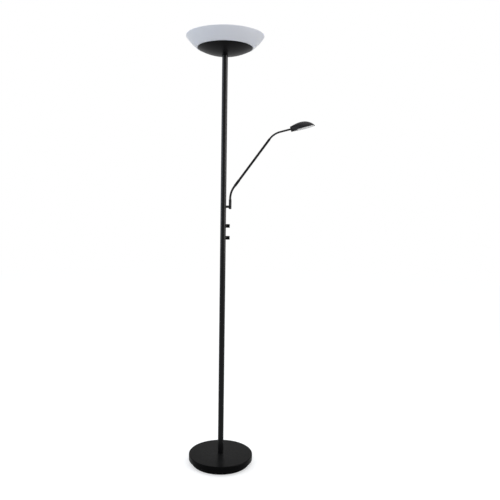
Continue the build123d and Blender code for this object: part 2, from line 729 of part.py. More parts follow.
def glass_bowl():
    """Opal bowl: flat foot ring on the seal, round wall, fire-polished edge."""
    foot = foot_ring_r
    mouth = mouth_r
    brim = BOWL_DIAMETER / 2
    centre = dome_centre(foot, glass_z, brim, bowl_z)
    outer = math.hypot(foot, centre - glass_z)
    inner = outer - GLASS
    foot_in = dome_r(centre, inner, carrier_z)
    brim_in = dome_r(centre, inner, bowl_z)
    edges = [
        Line((mouth, glass_z), (foot, glass_z)),
        dome_arc(centre, outer, foot, brim),
        Line((brim, bowl_z), (brim_in, bowl_z)),
        dome_arc(centre, inner, brim_in, foot_in),
        Polyline((foot_in, carrier_z), (mouth, carrier_z), (mouth, glass_z)),
    ]
    body = turned(*edges)
    return fillet(body.edges().group_by(Axis.Z)[-1], GLASS_EDGE)


def carrier_plate():
    """Aluminium disc that clamps the glass foot and carries the light."""
    return ring(carrier_r, hole_r, carrier_z, board_z)


def led_ring():
    """Ring board with its light sources."""
    top = board_z + LED_RING_THICKNESS
    body = ring(led_ring_r, led_ring_r - LED_RING_WIDTH, board_z, top)
    lamp = Pos(0, 0, top + LED_HEIGHT / 2) * Box(LED_SIZE, LED_SIZE, LED_HEIGHT)
    middle = led_ring_r - LED_RING_WIDTH / 2
    return body + [Pos(x, y) * lamp for x, y in around(LED_COUNT, middle)]


def diffuser():
    """Low opal dome over the light."""
    top = board_z + DIFFUSER_HEIGHT
    body = disc(diffuser_r, board_z, top)
    body = fillet(body.edges().sort_by(Axis.Z)[-1], DIFFUSER_HEIGHT * 0.6)
    inner = disc(diffuser_r - DIFFUSER_WALL, board_z, top - DIFFUSER_WALL)
    inner = fillet(inner.edges().sort_by(Axis.Z)[-1], DIFFUSER_HEIGHT * 0.6 - DIFFUSER_WALL)
    return body - inner


def cup_nipple():
    """Hollow threaded rod that pulls the carrier plate down to the pole."""
    top = board_z + NUT_HEIGHT + NIPPLE_OVERRUN
    return ring(nipple_r, NIPPLE_BORE / 2, cup_z - NIPPLE_GRIP, top)


def nipple_washer():
    floor = cup_z + CUP_WALL
    return ring(pole_r, hole_r, floor, floor + WASHER_HEIGHT)


def nipple_nuts():
    """One nut on the cup's floor, one under the carrier plate and one on top of it."""
    piece = nut(NUT_SIZE, NUT_HEIGHT, nipple_r + FIT)
    levels = [cup_z + CUP_WALL + WASHER_HEIGHT, carrier_z - NUT_HEIGHT, board_z]
    return [Pos(0, 0, z) * piece for z in levels]


# ---------------------------------------------------------------- all pieces
def write(name, shape):
    items = shape if isinstance(shape, list) else [shape]
    solids = [solid for item in items for solid in item.solids()]
    node = solids[0] if len(solids) == 1 else Compound(children=solids)
    node.label = name
    export_step(node, f"parts/{name}.step")


def pieces():
    """Every node of the lamp, from the floor up."""
    low, high = knob_levels
    return {
        "base_cover": base_cover(),
        "base_ballast": base_ballast(),
        "base_plinth": base_plinth(),
        "base_feet": base_feet(),
        "plinth_screws": plinth_screws(),
        "cord_gland": cord_gland(),
        "led_driver": led_driver(),
        "terminal_block": terminal_block(),
        "base_rod": base_rod(),
        "base_washer": base_washer(),
        "base_nut": base_nut(),
        "pole_lower": pole_lower(),
        "pole_middle": pole_middle(),
        "pole_upper": pole_upper(),
        "pole_plugs": pole_plugs(),
        "pole_couplers": pole_couplers(),
        "pole_cable": pole_cable(),
        "dimmer_lower": dimmer(low),
        "dimmer_upper": dimmer(high),
        "dimmer_nuts": [dimmer_nut(low), dimmer_nut(high)],
        "shaft_lower": shaft(low),
        "shaft_upper": shaft(high),
        "knob_lower": knob(low),
        "knob_upper": knob(high),
        "arm_bracket": arm_bracket(),
        "bracket_saddle": bracket_saddle(),
        "bracket_nut": bracket_nut(),
        "lower_gooseneck": lower_gooseneck(),
        "arm_ferrule": arm_ferrule(),
        "arm_tube": arm_tube(),
        "upper_gooseneck": upper_gooseneck(),
        "head_shell": head_shell(),
        "head_set_screw": head_set_screw(),
        "head_lens": head_lens(),
        "head_board": head_board(),
        "head_reflector": head_reflector(),
        "cup": cup(),
        "rim_seal": rim_seal(),
        "glass_bowl": glass_bowl(),
        "carrier_plate": carrier_plate(),
        "led_ring": led_ring(),
        "diffuser": diffuser(),
        "cup_nipple": cup_nipple(),
        "nipple_washer": nipple_washer(),
        "nipple_nuts": nipple_nuts(),
    }


os.makedirs("parts", exist_ok=True)
for name, shape in pieces().items():
    write(name, shape)
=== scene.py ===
import math

import bmesh
import bpy
from mathutils import Matrix, Vector


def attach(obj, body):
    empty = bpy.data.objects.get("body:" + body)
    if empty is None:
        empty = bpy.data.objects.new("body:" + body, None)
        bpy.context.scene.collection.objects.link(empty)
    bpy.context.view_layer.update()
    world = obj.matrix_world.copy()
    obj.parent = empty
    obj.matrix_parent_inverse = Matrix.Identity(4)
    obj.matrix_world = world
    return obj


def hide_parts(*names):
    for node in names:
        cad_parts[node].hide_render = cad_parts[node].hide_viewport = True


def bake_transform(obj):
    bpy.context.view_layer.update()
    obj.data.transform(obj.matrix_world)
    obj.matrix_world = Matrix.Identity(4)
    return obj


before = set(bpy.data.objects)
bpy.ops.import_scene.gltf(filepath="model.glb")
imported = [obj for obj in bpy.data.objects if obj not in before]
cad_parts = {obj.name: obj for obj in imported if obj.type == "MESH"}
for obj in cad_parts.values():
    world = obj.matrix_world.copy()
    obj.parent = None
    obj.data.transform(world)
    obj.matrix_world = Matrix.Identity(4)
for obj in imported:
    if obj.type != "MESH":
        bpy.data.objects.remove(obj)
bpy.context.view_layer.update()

# ------------------------------------------------------------------ viewpoint
# The camera stands 2.4 m in front of the lamp and a little to its right, at about
# three fifths of its height, and looks slightly down with a small tilt.
camera_data = bpy.data.cameras.new("viewpoint")
camera_data.lens = 41.002
camera_data.sensor_width = 36.0
camera_data.shift_x = 0.03
camera_data.shift_y = -0.03
camera = bpy.data.objects.new("viewpoint", camera_data)
bpy.context.scene.collection.objects.link(camera)
bpy.context.scene.camera = camera
camera.matrix_world = (
    Matrix.Translation((0.1177, -2.3939, 1.1145))
    @ Matrix.Rotation(math.radians(1.6083), 4, "Z")
    @ Matrix.Rotation(math.radians(90 - 3.2436), 4, "X")
    @ Matrix.Rotation(math.radians(0.7278), 4, "Z")
)


# ------------------------------------------------------------------ studio
# A round pale floor under an even, slightly cool room light, with a soft lamp on
# each side and one above, and pale cards that show only as soft reflections.
# What the camera and reflections see behind is white.
def seen_rays(nodes, links):
    """Value that is 1 for rays that show the background, and 0 for light."""
    path = nodes.new("ShaderNodeLightPath")
    total = path.outputs["Is Camera Ray"]
    for kind in ("Is Glossy Ray", "Is Transmission Ray"):
        either = nodes.new("ShaderNodeMath")
        either.operation = "MAXIMUM"
        links.new(total, either.inputs[0])
        links.new(path.outputs[kind], either.inputs[1])
        total = either.outputs[0]
    return total


bpy.context.scene.view_settings.view_transform = "Standard"

room = bpy.data.worlds.new("room")
bpy.context.scene.world = room
room.use_nodes = True
nodes, links = room.node_tree.nodes, room.node_tree.links
nodes.clear()
room_light = nodes.new("ShaderNodeBackground")
room_light.inputs["Color"].default_value = (0.96, 0.98, 1.0, 1)
room_light.inputs["Strength"].default_value = 0.80
room_white = nodes.new("ShaderNodeBackground")
room_white.inputs["Color"].default_value = (1, 1, 1, 1)
room_white.inputs["Strength"].default_value = 1.0
room_mix = nodes.new("ShaderNodeMixShader")
room_out = nodes.new("ShaderNodeOutputWorld")
links.new(seen_rays(nodes, links), room_mix.inputs[0])
links.new(room_light.outputs[0], room_mix.inputs[1])
links.new(room_white.outputs[0], room_mix.inputs[2])
links.new(room_mix.outputs[0], room_out.inputs[0])

FLOOR_RADIUS = 7.0
FLOOR_GAP = 0.0003  # keeps the floor clear of the soles of the feet
floor_mesh = bmesh.new()
bmesh.ops.create_circle(floor_mesh, cap_ends=True, segments=96, radius=FLOOR_RADIUS)
bmesh.ops.translate(floor_mesh, vec=(0, 0, -FLOOR_GAP), verts=floor_mesh.verts)
floor_data = bpy.data.meshes.new("floor")
floor_mesh.to_mesh(floor_data)
floor_mesh.free()
floor = bpy.data.objects.new("floor", floor_data)
bpy.context.scene.collection.objects.link(floor)

pale = bpy.data.materials.new("pale floor")
pale.use_nodes = True
nodes, links = pale.node_tree.nodes, pale.node_tree.links
pale_shader = nodes["Principled BSDF"]
pale_shader.inputs["Base Color"].default_value = (0.64, 0.64, 0.64, 1)
pale_shader.inputs["Roughness"].default_value = 0.9
pale_shader.inputs["Specular IOR Level"].default_value = 0.0
pale_shader.inputs["Emission Color"].default_value = (1, 1, 1, 1)
pale_glow = nodes.new("ShaderNodeMath")
pale_glow.operation = "MULTIPLY"
pale_glow.inputs[1].default_value = 0.50
links.new(seen_rays(nodes, links), pale_glow.inputs[0])
links.new(pale_glow.outputs[0], pale_shader.inputs["Emission Strength"])
floor_data.materials.append(pale)

LAMP_TARGET = Vector((0, 0, 1.2))
for label, place, wide, high, power, tint, lights in (
    ("lamp left", (-2.2, -1.0, 1.7), 0.5, 1.7, 13.0, (0.80, 0.89, 1.0), True),
    ("lamp right", (2.0, -1.5, 1.7), 0.8, 1.7, 11.0, (1.0, 0.98, 0.97), True),
    ("lamp above", (0.3, -0.8, 3.6), 2.0, 2.0, 16.0, (1.0, 1.0, 1.0), True),
    ("card left", (-2.35, -0.4, 1.65), 1.2, 1.9, 60.0, (0.74, 0.84, 1.0), False),
    ("card above", (0.3, -0.8, 3.6), 2.0, 2.0, 44.0, (1.0, 1.0, 1.0), False),
    ("card right", (2.3, -0.4, 1.65), 2.4, 1.9, 125.0, (1.0, 0.96, 0.96), False),
):
    lamp_data = bpy.data.lights.new(label, "AREA")
    lamp_data.shape = "RECTANGLE"
    lamp_data.size = wide
    lamp_data.size_y = high
    lamp_data.energy = power
    lamp_data.color = tint
    lamp = bpy.data.objects.new(label, lamp_data)
    lamp.location = place
    aim = LAMP_TARGET - Vector(place)
    lamp.rotation_euler = aim.to_track_quat("-Z", "Y").to_euler()
    lamp.visible_diffuse = lights
    bpy.context.scene.collection.objects.link(lamp)


# ------------------------------------------------------------------ rubber feet
# Four round pads of soft black rubber, pushed into shallow recesses of the
# plinth, with one grip groove in each sole.
MM = 0.001
SHARP = math.radians(38)  # faces that meet at a larger angle keep a crisp edge


def effect(name, inputs, outputs):
    """Node group with named sockets; gives it with its ends and its coordinates."""
    group = bpy.data.node_groups.new(name, "ShaderNodeTree")
    for label, kind, value in inputs:
        socket = group.interface.new_socket(label, in_out="INPUT", socket_type=kind)
        socket.default_value = value
    for label, kind in outputs:
        group.interface.new_socket(label, in_out="OUTPUT", socket_type=kind)
    spot = group.nodes.new("ShaderNodeTexCoord").outputs["Object"]
    return group, group.nodes.new("NodeGroupInput"), group.nodes.new("NodeGroupOutput"), spot


def worked(group, operation, first, second):
    """Math node inside a group; either side is a socket or a number."""
    node = group.nodes.new("ShaderNodeMath")
    node.operation = operation
    for i, side in enumerate((first, second)):
        if isinstance(side, (int, float)):
            node.inputs[i].default_value = side
        else:
            group.links.new(side, node.inputs[i])
    return node.outputs[0]


def ranged(group, value, low, high, start, end):
    """Map Range node that takes low..high to start..end."""
    node = group.nodes.new("ShaderNodeMapRange")
    ends = {"From Min": low, "From Max": high, "To Min": start, "To Max": end}
    for label, number in ends.items():
        node.inputs[label].default_value = number
    group.links.new(value, node.inputs["Value"])
    return node.outputs["Result"]


# fine skin of paint, rubber or plastic: small bumps and a broad soft shade
grain, ends_in, ends_out, spot = effect(
    "grain",
    [("Bumps per metre", "NodeSocketFloat", 900.0), ("Patches per metre", "NodeSocketFloat", 9.0)],
    [("Height", "NodeSocketFloat"), ("Shade", "NodeSocketFloat")],
)
for label, detail, target in (
    ("Bumps per metre", 2.0, "Height"),
    ("Patches per metre", 4.0, "Shade"),
):
    noise = grain.nodes.new("ShaderNodeTexNoise")
    noise.inputs["Detail"].default_value = detail
    grain.links.new(spot, noise.inputs["Vector"])
    grain.links.new(ends_in.outputs[label], noise.inputs["Scale"])
    grain.links.new(noise.outputs["Fac"], ends_out.inputs[target])

# dust that settles on what faces up, thicker in some places
dust, ends_in, ends_out, spot = effect(
    "settled dust",
    [("Amount", "NodeSocketFloat", 0.1)],
    [("Mask", "NodeSocketFloat")],
)
facing = dust.nodes.new("ShaderNodeNewGeometry")
split = dust.nodes.new("ShaderNodeSeparateXYZ")
dust.links.new(facing.outputs["Normal"], split.inputs[0])
noise = dust.nodes.new("ShaderNodeTexNoise")
noise.inputs["Scale"].default_value = 34.0
noise.inputs["Detail"].default_value = 6.0
dust.links.new(spot, noise.inputs["Vector"])
upward = ranged(dust, split.outputs["Z"], 0.35, 1.0, 0.0, 1.0)
patchy = ranged(dust, noise.outputs["Fac"], 0.35, 0.7, 0.45, 1.0)
mask = worked(dust, "MULTIPLY", upward, patchy)
dust.links.new(worked(dust, "MULTIPLY", mask, ends_in.outputs["Amount"]), ends_out.inputs["Mask"])

# rubbed edges, broken up so that no edge is worn all along
rub, ends_in, ends_out, spot = effect(
    "rubbed edges",
    [("Amount", "NodeSocketFloat", 0.2)],
    [("Mask", "NodeSocketFloat")],
)
shape = rub.nodes.new("ShaderNodeNewGeometry")
noise = rub.nodes.new("ShaderNodeTexNoise")
noise.inputs["Scale"].default_value = 160.0
noise.inputs["Detail"].default_value = 3.0
rub.links.new(spot, noise.inputs["Vector"])
edge = ranged(rub, shape.outputs["Pointiness"], 0.53, 0.62, 0.0, 1.0)
broken = ranged(rub, noise.outputs["Fac"], 0.4, 0.6, 0.0, 1.0)
mask = worked(rub, "MULTIPLY", edge, broken)
rub.links.new(worked(rub, "MULTIPLY", mask, ends_in.outputs["Amount"]), ends_out.inputs["Mask"])


def blended(tree, mask, first, second):
    """Mix node between two colours; the first is a socket or a colour."""
    node = tree.nodes.new("ShaderNodeMix")
    node.data_type = "RGBA"
    tree.links.new(mask, node.inputs[0])
    if isinstance(first, tuple):
        node.inputs[6].default_value = (*first, 1)
    else:
        tree.links.new(first, node.inputs[6])
    node.inputs[7].default_value = (*second, 1)
    return node.outputs[2]


def placed(tree, group, **values):
    """One of the shared effects, put into a material with its own values."""
    node = tree.nodes.new("ShaderNodeGroup")
    node.node_tree = group
    for label, number in values.items():
        node.inputs[label.replace("_", " ")].default_value = number
    return node


DUST_COLOUR = (0.42, 0.41, 0.40)
DUST_DULLS = 0.6


def finish(name, colour, shade, dull, bumps, depth, patches, metallic=0.0, specular=0.5,
           gloss=0.0, dusty=0.0, worn=0.0, bare=(0.30, 0.30, 0.31), marks=None):
    """Material with colour drift, a fine skin, dust and edge wear.
    dull is the roughness at both ends of the drift, bumps their number per metre and
    depth their height in millimetres; gloss is how far the index of a thin top coat
    lies above that of air."""
    made = bpy.data.materials.new(name)
    made.use_nodes = True
    tree = made.node_tree
    shader = tree.nodes["Principled BSDF"]
    shader.inputs["Metallic"].default_value = metallic
    shader.inputs["Specular IOR Level"].default_value = specular
    if gloss:
        shader.inputs["Coat Weight"].default_value = 1.0
        shader.inputs["Coat Roughness"].default_value = sum(dull) / 2
        shader.inputs["Coat IOR"].default_value = 1.0 + gloss
    skin = placed(tree, grain, Bumps_per_metre=bumps, Patches_per_metre=patches)
    drift = ranged(tree, skin.outputs["Shade"], 0.3, 0.7, 0.0, 1.0)
    height = skin.outputs["Height"]
    if marks:
        lines = placed(tree, marks)
        drift = worked(tree, "MULTIPLY", drift, lines.outputs["Shade"])
        height = worked(tree, "ADD", height, lines.outputs["Height"])
    paint = blended(tree, drift, colour, shade)
    if worn:
        paint = blended(tree, placed(tree, rub, Amount=worn).outputs["Mask"], paint, bare)
    rough = ranged(tree, drift, 0.0, 1.0, dull[0], dull[1])
    if dusty:
        film = placed(tree, dust, Amount=dusty).outputs["Mask"]
        paint = blended(tree, film, paint, DUST_COLOUR)
        rough = worked(tree, "ADD", rough, worked(tree, "MULTIPLY", film, DUST_DULLS))
    bump = tree.nodes.new("ShaderNodeBump")
    bump.inputs["Distance"].default_value = depth * MM
    tree.links.new(height, bump.inputs["Height"])
    tree.links.new(bump.outputs["Normal"], shader.inputs["Normal"])
    tree.links.new(paint, shader.inputs["Base Color"])
    tree.links.new(rough, shader.inputs["Roughness"])
    return made


def smoothed(mesh):
    """Shades a mesh smooth and marks the edges that stay crisp."""
    for line in mesh.edges:
        line.smooth = line.calc_face_angle(0.0) < SHARP
    for face in mesh.faces:
        face.smooth = True


def piece(name, mesh, material, place=None):
    """Object from a mesh drawn in millimetres, set to its place and cleaned."""
    bmesh.ops.remove_doubles(mesh, verts=mesh.verts, dist=0.0005)
    bmesh.ops.recalc_face_normals(mesh, faces=mesh.faces)
    to_metres = Matrix.Scale(MM, 4) @ (place or Matrix.Identity(4))
    bmesh.ops.transform(mesh, matrix=to_metres, verts=mesh.verts)
    smoothed(mesh)
    data = bpy.data.meshes.new(name)
    mesh.to_mesh(data)
    mesh.free()
    data.materials.append(material)
    made = bpy.data.objects.new(name, data)
    bpy.context.scene.collection.objects.link(made)
    return made


def even(made):
    """Keeps flat faces flat in the shading beside their rounded edges."""
    made.modifiers.new("even shading", "WEIGHTED_NORMAL").keep_sharp = True


def outline(*corners):
    """Closed outline of (radius, height, rounding) corners, all in millimetres.
    A fourth value bows the line to the next corner round that height on the axis."""
    mesh = bmesh.new()
    points = [mesh.verts.new((corners[0][0], 0, corners[0][1]))]
    for here, then in zip(corners, corners[1:]):
        if len(here) == 4:
            first = math.atan2(here[0], here[1] - here[3])
            swing = math.atan2(then[0], then[1] - here[3]) - first
            arc = bmesh.ops.spin(mesh, geom=[points[-1]], cent=(0, 0, here[3]), axis=(0, 1, 0),
                                 dvec=(0, 0, 0), angle=swing, steps=24)
            points += [g for g in arc["geom_last"] if isinstance(g, bmesh.types.BMVert)]
        else:
            points.append(mesh.verts.new((then[0], 0, then[1])))
            mesh.edges.new(points[-2:])
    mesh.edges.new((points[-1], points[0]))
    for point, corner in zip(points, corners):
        if corner[2]:
            bmesh.ops.bevel(mesh, geom=[point], offset=corner[2], segments=5, profile=0.5,
                            affect="VERTICES", material=-1)
    return mesh


def turned(mesh, steps):
    """Turns an outline once round its own Z axis."""
    bmesh.ops.spin(mesh, geom=mesh.verts[:] + mesh.edges[:], cent=(0, 0, 0), axis=(0, 0, 1),
                   dvec=(0, 0, 0), angle=2 * math.pi, steps=steps, use_merge=True)
    return mesh


def ring_of(mesh, count):
    """Repeats what is in the mesh round the Z axis, count times in all."""
    bmesh.ops.spin(mesh, geom=mesh.verts[:] + mesh.edges[:] + mesh.faces[:], cent=(0, 0, 0),
                   axis=(0, 0, 1), dvec=(0, 0, 0), angle=2 * math.pi * (count - 1) / count,
                   steps=count - 1, use_duplicate=True)
    return mesh


def moved(mesh, matrix):
    """Moves or turns a whole mesh."""
    bmesh.ops.transform(mesh, matrix=matrix, verts=mesh.verts)
    return mesh


FOOT_CIRCLE = 105.0
FOOT_COUNT = 4
FOOT_TURN = math.radians(65)
FOOT_RADIUS, FOOT_HEIGHT = 9.0, 2.0
GRIP_DEPTH = 0.45
on_circle = Matrix.Translation((FOOT_CIRCLE, 0, 0))
around_feet = Matrix.Rotation(FOOT_TURN, 4, "Z") @ on_circle
mesh = moved(turned(outline(
    (0, FOOT_HEIGHT, 0), (FOOT_RADIUS, FOOT_HEIGHT, 0.3), (FOOT_RADIUS, 0, 0.7),
    (6.2, 0, 0.2), (5.9, GRIP_DEPTH, 0.15), (5.0, GRIP_DEPTH, 0.15), (4.7, 0, 0.2), (0, 0, 0),
), 40), around_feet)
rubber = finish("soft black rubber", (0.012, 0.012, 0.012), (0.024, 0.023, 0.022), (0.62, 0.8),
                2600.0, 0.03, patches=60.0, specular=0.3, dusty=0.1)
feet = piece("rubber_feet", ring_of(mesh, FOOT_COUNT), rubber)
even(feet)
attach(feet, "stand")
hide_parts("base_feet")


# ------------------------------------------------------------------ plinth
# Moulded black plastic tray under the base, with two fine rings on its underside,
# seats for its screws and the feet and a round hole for the cord.
def drilled(made, *cutters):
    """Cuts closed meshes in millimetres out of a piece and keeps the result."""
    for cutter in cutters:
        data = bpy.data.meshes.new("cutter")
        bmesh.ops.recalc_face_normals(cutter, faces=cutter.faces)
        bmesh.ops.transform(cutter, matrix=Matrix.Scale(MM, 4), verts=cutter.verts)
        cutter.to_mesh(data)
        cutter.free()
        tool = bpy.data.objects.new("cutter", data)
        bpy.context.scene.collection.objects.link(tool)
        cut = made.modifiers.new("cut", "BOOLEAN")
        cut.object = tool
        bpy.context.view_layer.update()
        seen = made.evaluated_get(bpy.context.evaluated_depsgraph_get())
        result = bpy.data.meshes.new_from_object(seen)
        made.modifiers.remove(cut)
        result.name = made.name
        made.data = result
        bpy.data.objects.remove(tool)
    soft = bmesh.new()
    soft.from_mesh(made.data)
    smoothed(soft)
    soft.to_mesh(made.data)
    soft.free()


def rod(radius, low, high, segments=40):
    """Closed round bar along Z, used to drill a hole."""
    return turned(outline((0, low, 0), (radius, low, 0), (radius, high, 0), (0, high, 0)), segments)


PLINTH_RADIUS = 124.4
PLINTH_LOW, PLINTH_HIGH = 1.2, 23.7
PLINTH_WALL = 2.5
RINGS = (34.0, 84.0)
RING_WIDTH, RING_DEPTH, RING_SLOPE = 3.2, 0.7, 0.8
SCREW_TURN = math.radians(20)
SCREW_HEAD, SCREW_SHANK, SCREW_SEAT = 4.0, 2.3, 3.6
FOOT_SEAT = 9.1
GLAND_LEVEL, GLAND_HOLE = 10.6, 4.95
inside = PLINTH_RADIUS - PLINTH_WALL
tray = PLINTH_LOW + PLINTH_WALL
ring_level = PLINTH_LOW + RING_DEPTH
rings = [corner for start in RINGS for corner in (
    (start, PLINTH_LOW, 0.3), (start + RING_SLOPE, ring_level, 0.2),
    (start + RING_WIDTH - RING_SLOPE, ring_level, 0.2), (start + RING_WIDTH, PLINTH_LOW, 0.3))]
mesh = turned(outline(
    (0, PLINTH_LOW, 0), *rings, (PLINTH_RADIUS - 0.5, PLINTH_LOW, 1.6),
    (PLINTH_RADIUS, PLINTH_HIGH, 0.4), (inside, PLINTH_HIGH, 0.4),
    (inside, tray, 1.0), (0, tray, 0),
), 144)
black_plastic = finish("black moulded plastic", (0.0018, 0.0018, 0.002), (0.0030, 0.0030, 0.0032),
                       (0.46, 0.6), 1500.0, 0.02, patches=14.0, specular=0.0, gloss=0.10,
                       dusty=0.01, worn=0.10, bare=(0.03, 0.03, 0.03))
plinth = piece("plinth", mesh, black_plastic)
around_screws = Matrix.Rotation(SCREW_TURN, 4, "Z") @ on_circle
to_the_back = Matrix.Rotation(math.radians(-90), 4, "X")
at_gland = Matrix.Translation((0, PLINTH_RADIUS, GLAND_LEVEL)) @ to_the_back
screw_seat = turned(outline(
    (0, -1, 0), (SCREW_HEAD, -1, 0), (SCREW_HEAD, SCREW_SEAT, 0), (SCREW_SHANK, SCREW_SEAT, 0),
    (SCREW_SHANK, 12, 0), (0, 12, 0)), 32)
drilled(
    plinth,
    ring_of(moved(screw_seat, around_screws), FOOT_COUNT),
    ring_of(moved(rod(FOOT_SEAT, -1, FOOT_HEIGHT), around_feet), FOOT_COUNT),
    moved(rod(GLAND_HOLE, -8, 4), at_gland),
)
even(plinth)
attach(plinth, "stand")
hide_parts("base_plinth")

# ------------------------------------------------------------------ plinth screws
# Zinc-plated screws with a flat head and a cross slot, sunk into the plinth and
# turned into the ballast.
zinc = finish("zinc-plated steel", (0.50, 0.51, 0.53), (0.62, 0.62, 0.60), (0.30, 0.46),
              1800.0, 0.01, patches=120.0, metallic=1.0)


def cad_finish(material, *nodes):
    """Gives CAD pieces that stay as they are their finish."""
    for node in nodes:
        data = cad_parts[node].data
        data.materials.clear()
        data.materials.append(material)


cad_finish(zinc, "plinth_screws", "base_rod", "base_washer", "base_nut")

# ------------------------------------------------------------------ cord bushing
# Black rubber bushing with a flange on both sides of the plinth's wall and an
# open bore for the cord.
CORD_BORE = 3.2
BUSHING_RADIUS = 4.9
FLANGE_RADIUS = 6.6
BUSHING_END = -10
INNER_FLANGE, OUTER_FLANGE = (-4.8, -2.8), (0.05, 2.0)
mesh = turned(outline(
    (CORD_BORE, BUSHING_END, 0.5), (BUSHING_RADIUS, BUSHING_END, 0.6),
    (BUSHING_RADIUS, INNER_FLANGE[0], 0), (FLANGE_RADIUS, INNER_FLANGE[0], 0.5),
    (FLANGE_RADIUS, INNER_FLANGE[1], 0.5), (BUSHING_RADIUS, INNER_FLANGE[1], 0),
    (BUSHING_RADIUS, OUTER_FLANGE[0], 0), (FLANGE_RADIUS, OUTER_FLANGE[0], 0.4),
    (FLANGE_RADIUS, OUTER_FLANGE[1], 0.9), (CORD_BORE, OUTER_FLANGE[1], 0.8)), 48)
bushing = piece("cord_bushing", mesh, rubber, at_gland)
even(bushing)
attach(bushing, "stand")
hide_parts("cord_gland")

# ------------------------------------------------------------------ supply parts
# The closed supply unit and the three-pole connector lie on the plinth's floor,
# both in white plastic; nothing of them shows from outside.
white_plastic = finish("white plastic", (0.72, 0.72, 0.70), (0.66, 0.66, 0.63), (0.38, 0.5),
                       1200.0, 0.02, patches=40.0, specular=0.4)
cad_finish(white_plastic, "led_driver", "terminal_block")

# ------------------------------------------------------------------ ballast
# Cast iron disc that keeps the lamp upright, rough from the mould, held under
# the cover by a washer and a nut on the hollow rod.
ROD_HOLE = 5.3
BALLAST_RADIUS = 126.0
BALLAST_HIGH = 37.7
cast_iron = finish("cast iron", (0.045, 0.043, 0.042), (0.10, 0.085, 0.075), (0.6, 0.85),
                   420.0, 0.25, patches=30.0, metallic=0.6)
mesh = turned(outline((ROD_HOLE, PLINTH_HIGH, 0.4), (BALLAST_RADIUS, PLINTH_HIGH, 1.4),
                      (BALLAST_RADIUS, BALLAST_HIGH, 1.4), (ROD_HOLE, BALLAST_HIGH, 0.4)), 96)
ballast = piece("ballast", mesh, cast_iron)
even(ballast)
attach(ballast, "stand")
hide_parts("base_ballast")

# ------------------------------------------------------------------ base cover
# Pressed steel cap with a flat round top, a rounded edge and a straight side
# that ends in a small hem; satin black powder paint all over.
COVER_RADIUS = 136.1
COVER_LOW, COVER_HIGH = 16.8, 39.2
COVER_WALL = 1.5
HEM_WALL, HEM_HEIGHT = 2.4, 2.2
base_paint = finish("satin black base paint", (0.0015, 0.0015, 0.0017), (0.0019, 0.0019, 0.0021),
                    (0.32, 0.35), 1100.0, 0.008, patches=7.0, specular=0.0, gloss=0.09,
                    dusty=0.006, worn=0.04)
under_top = COVER_HIGH - COVER_WALL
within_side = COVER_RADIUS - COVER_WALL
within_hem = COVER_RADIUS - HEM_WALL
mesh = turned(outline(
    (ROD_HOLE, under_top, 0), (ROD_HOLE, COVER_HIGH, 0), (COVER_RADIUS, COVER_HIGH, 3.0),
    (COVER_RADIUS, COVER_LOW, 0.6), (within_hem, COVER_LOW, 0.6),
    (within_hem, COVER_LOW + HEM_HEIGHT, 0.5), (within_side, COVER_LOW + HEM_HEIGHT + 0.6, 0.3),
    (within_side, under_top, 1.5),
), 192)
cover = piece("base_cap", mesh, base_paint)
even(cover)
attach(cover, "stand")
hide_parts("base_cover")

# ------------------------------------------------------------------ pole
# Three steel tubes end to end in satin black; each end is slightly rounded, so
# that the seams show as hairlines. The middle tube is drilled.
satin_black = finish("satin black tube paint", (0.0030, 0.0030, 0.0033), (0.0045, 0.0045, 0.0048),
                     (0.26, 0.34), 1100.0, 0.006, patches=7.0, specular=0.0, gloss=0.21,
                     dusty=0.01, worn=0.06)
POLE_RADIUS = 12.0
POLE_BORE = 10.8
LOWER_SEAM, UPPER_SEAM = 619.2, 1179.2
POLE_TOP = 1722.9
STUB_LEVEL, STUB_HOLE = 1097.3, 4.05
KNOB_LEVELS, DIMMER_HOLE = (966.6, 1016.6), 3.55
HOLES = ((DIMMER_HOLE, KNOB_LEVELS[0]), (DIMMER_HOLE, KNOB_LEVELS[1]), (STUB_HOLE, STUB_LEVEL))
DRILL_START, DRILL_END = 8, 14
facing_arm = Matrix.Rotation(math.radians(90), 4, "Y")
for label, node, low, high in (
    ("pole_tube_lower", "pole_lower", COVER_HIGH, LOWER_SEAM),
    ("pole_tube_middle", "pole_middle", LOWER_SEAM, UPPER_SEAM),
    ("pole_tube_upper", "pole_upper", UPPER_SEAM, POLE_TOP),
):
    mesh = turned(outline((POLE_BORE, low, 0.15), (POLE_RADIUS, low, 0.3),
                          (POLE_RADIUS, high, 0.3), (POLE_BORE, high, 0.15)), 72)
    tube = piece(label, mesh, satin_black)
    if node == "pole_middle":
        drilled(tube, *[
            moved(rod(hole, DRILL_START, DRILL_END), Matrix.Translation((0, 0, level)) @ facing_arm)
            for hole, level in HOLES])
    even(tube)
    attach(tube, "stand")
    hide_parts(node)

# ------------------------------------------------------------------ inside the pole
# Threaded plugs in both ends, hollow connectors in the seams and the grey
# sheathed wiring that runs up past the dimmers.
turned_steel = finish("turned steel", (0.33, 0.33, 0.34), (0.42, 0.41, 0.40), (0.34, 0.5),
                      1500.0, 0.02, patches=80.0, metallic=1.0)
grey_sheath = finish("grey wire sheath", (0.22, 0.22, 0.23), (0.28, 0.28, 0.29), (0.5, 0.62),
                     1600.0, 0.02, patches=50.0, specular=0.3)
cad_finish(turned_steel, "pole_plugs", "pole_couplers")
cad_finish(grey_sheath, "pole_cable")

# ------------------------------------------------------------------ dimmers
# Two rotary dimmers inside the pole: a dark plastic body, a threaded bushing
# through the wall with its nut, and a metal shaft for each knob.
dimmer_plastic = finish("dark dimmer plastic", (0.02, 0.021, 0.024), (0.03, 0.03, 0.033),
                        (0.4, 0.55), 1400.0, 0.02, patches=60.0, specular=0.35)
cad_finish(dimmer_plastic, "dimmer_lower", "dimmer_upper")
cad_finish(zinc, "dimmer_nuts")
cad_finish(turned_steel, "shaft_lower", "shaft_upper")

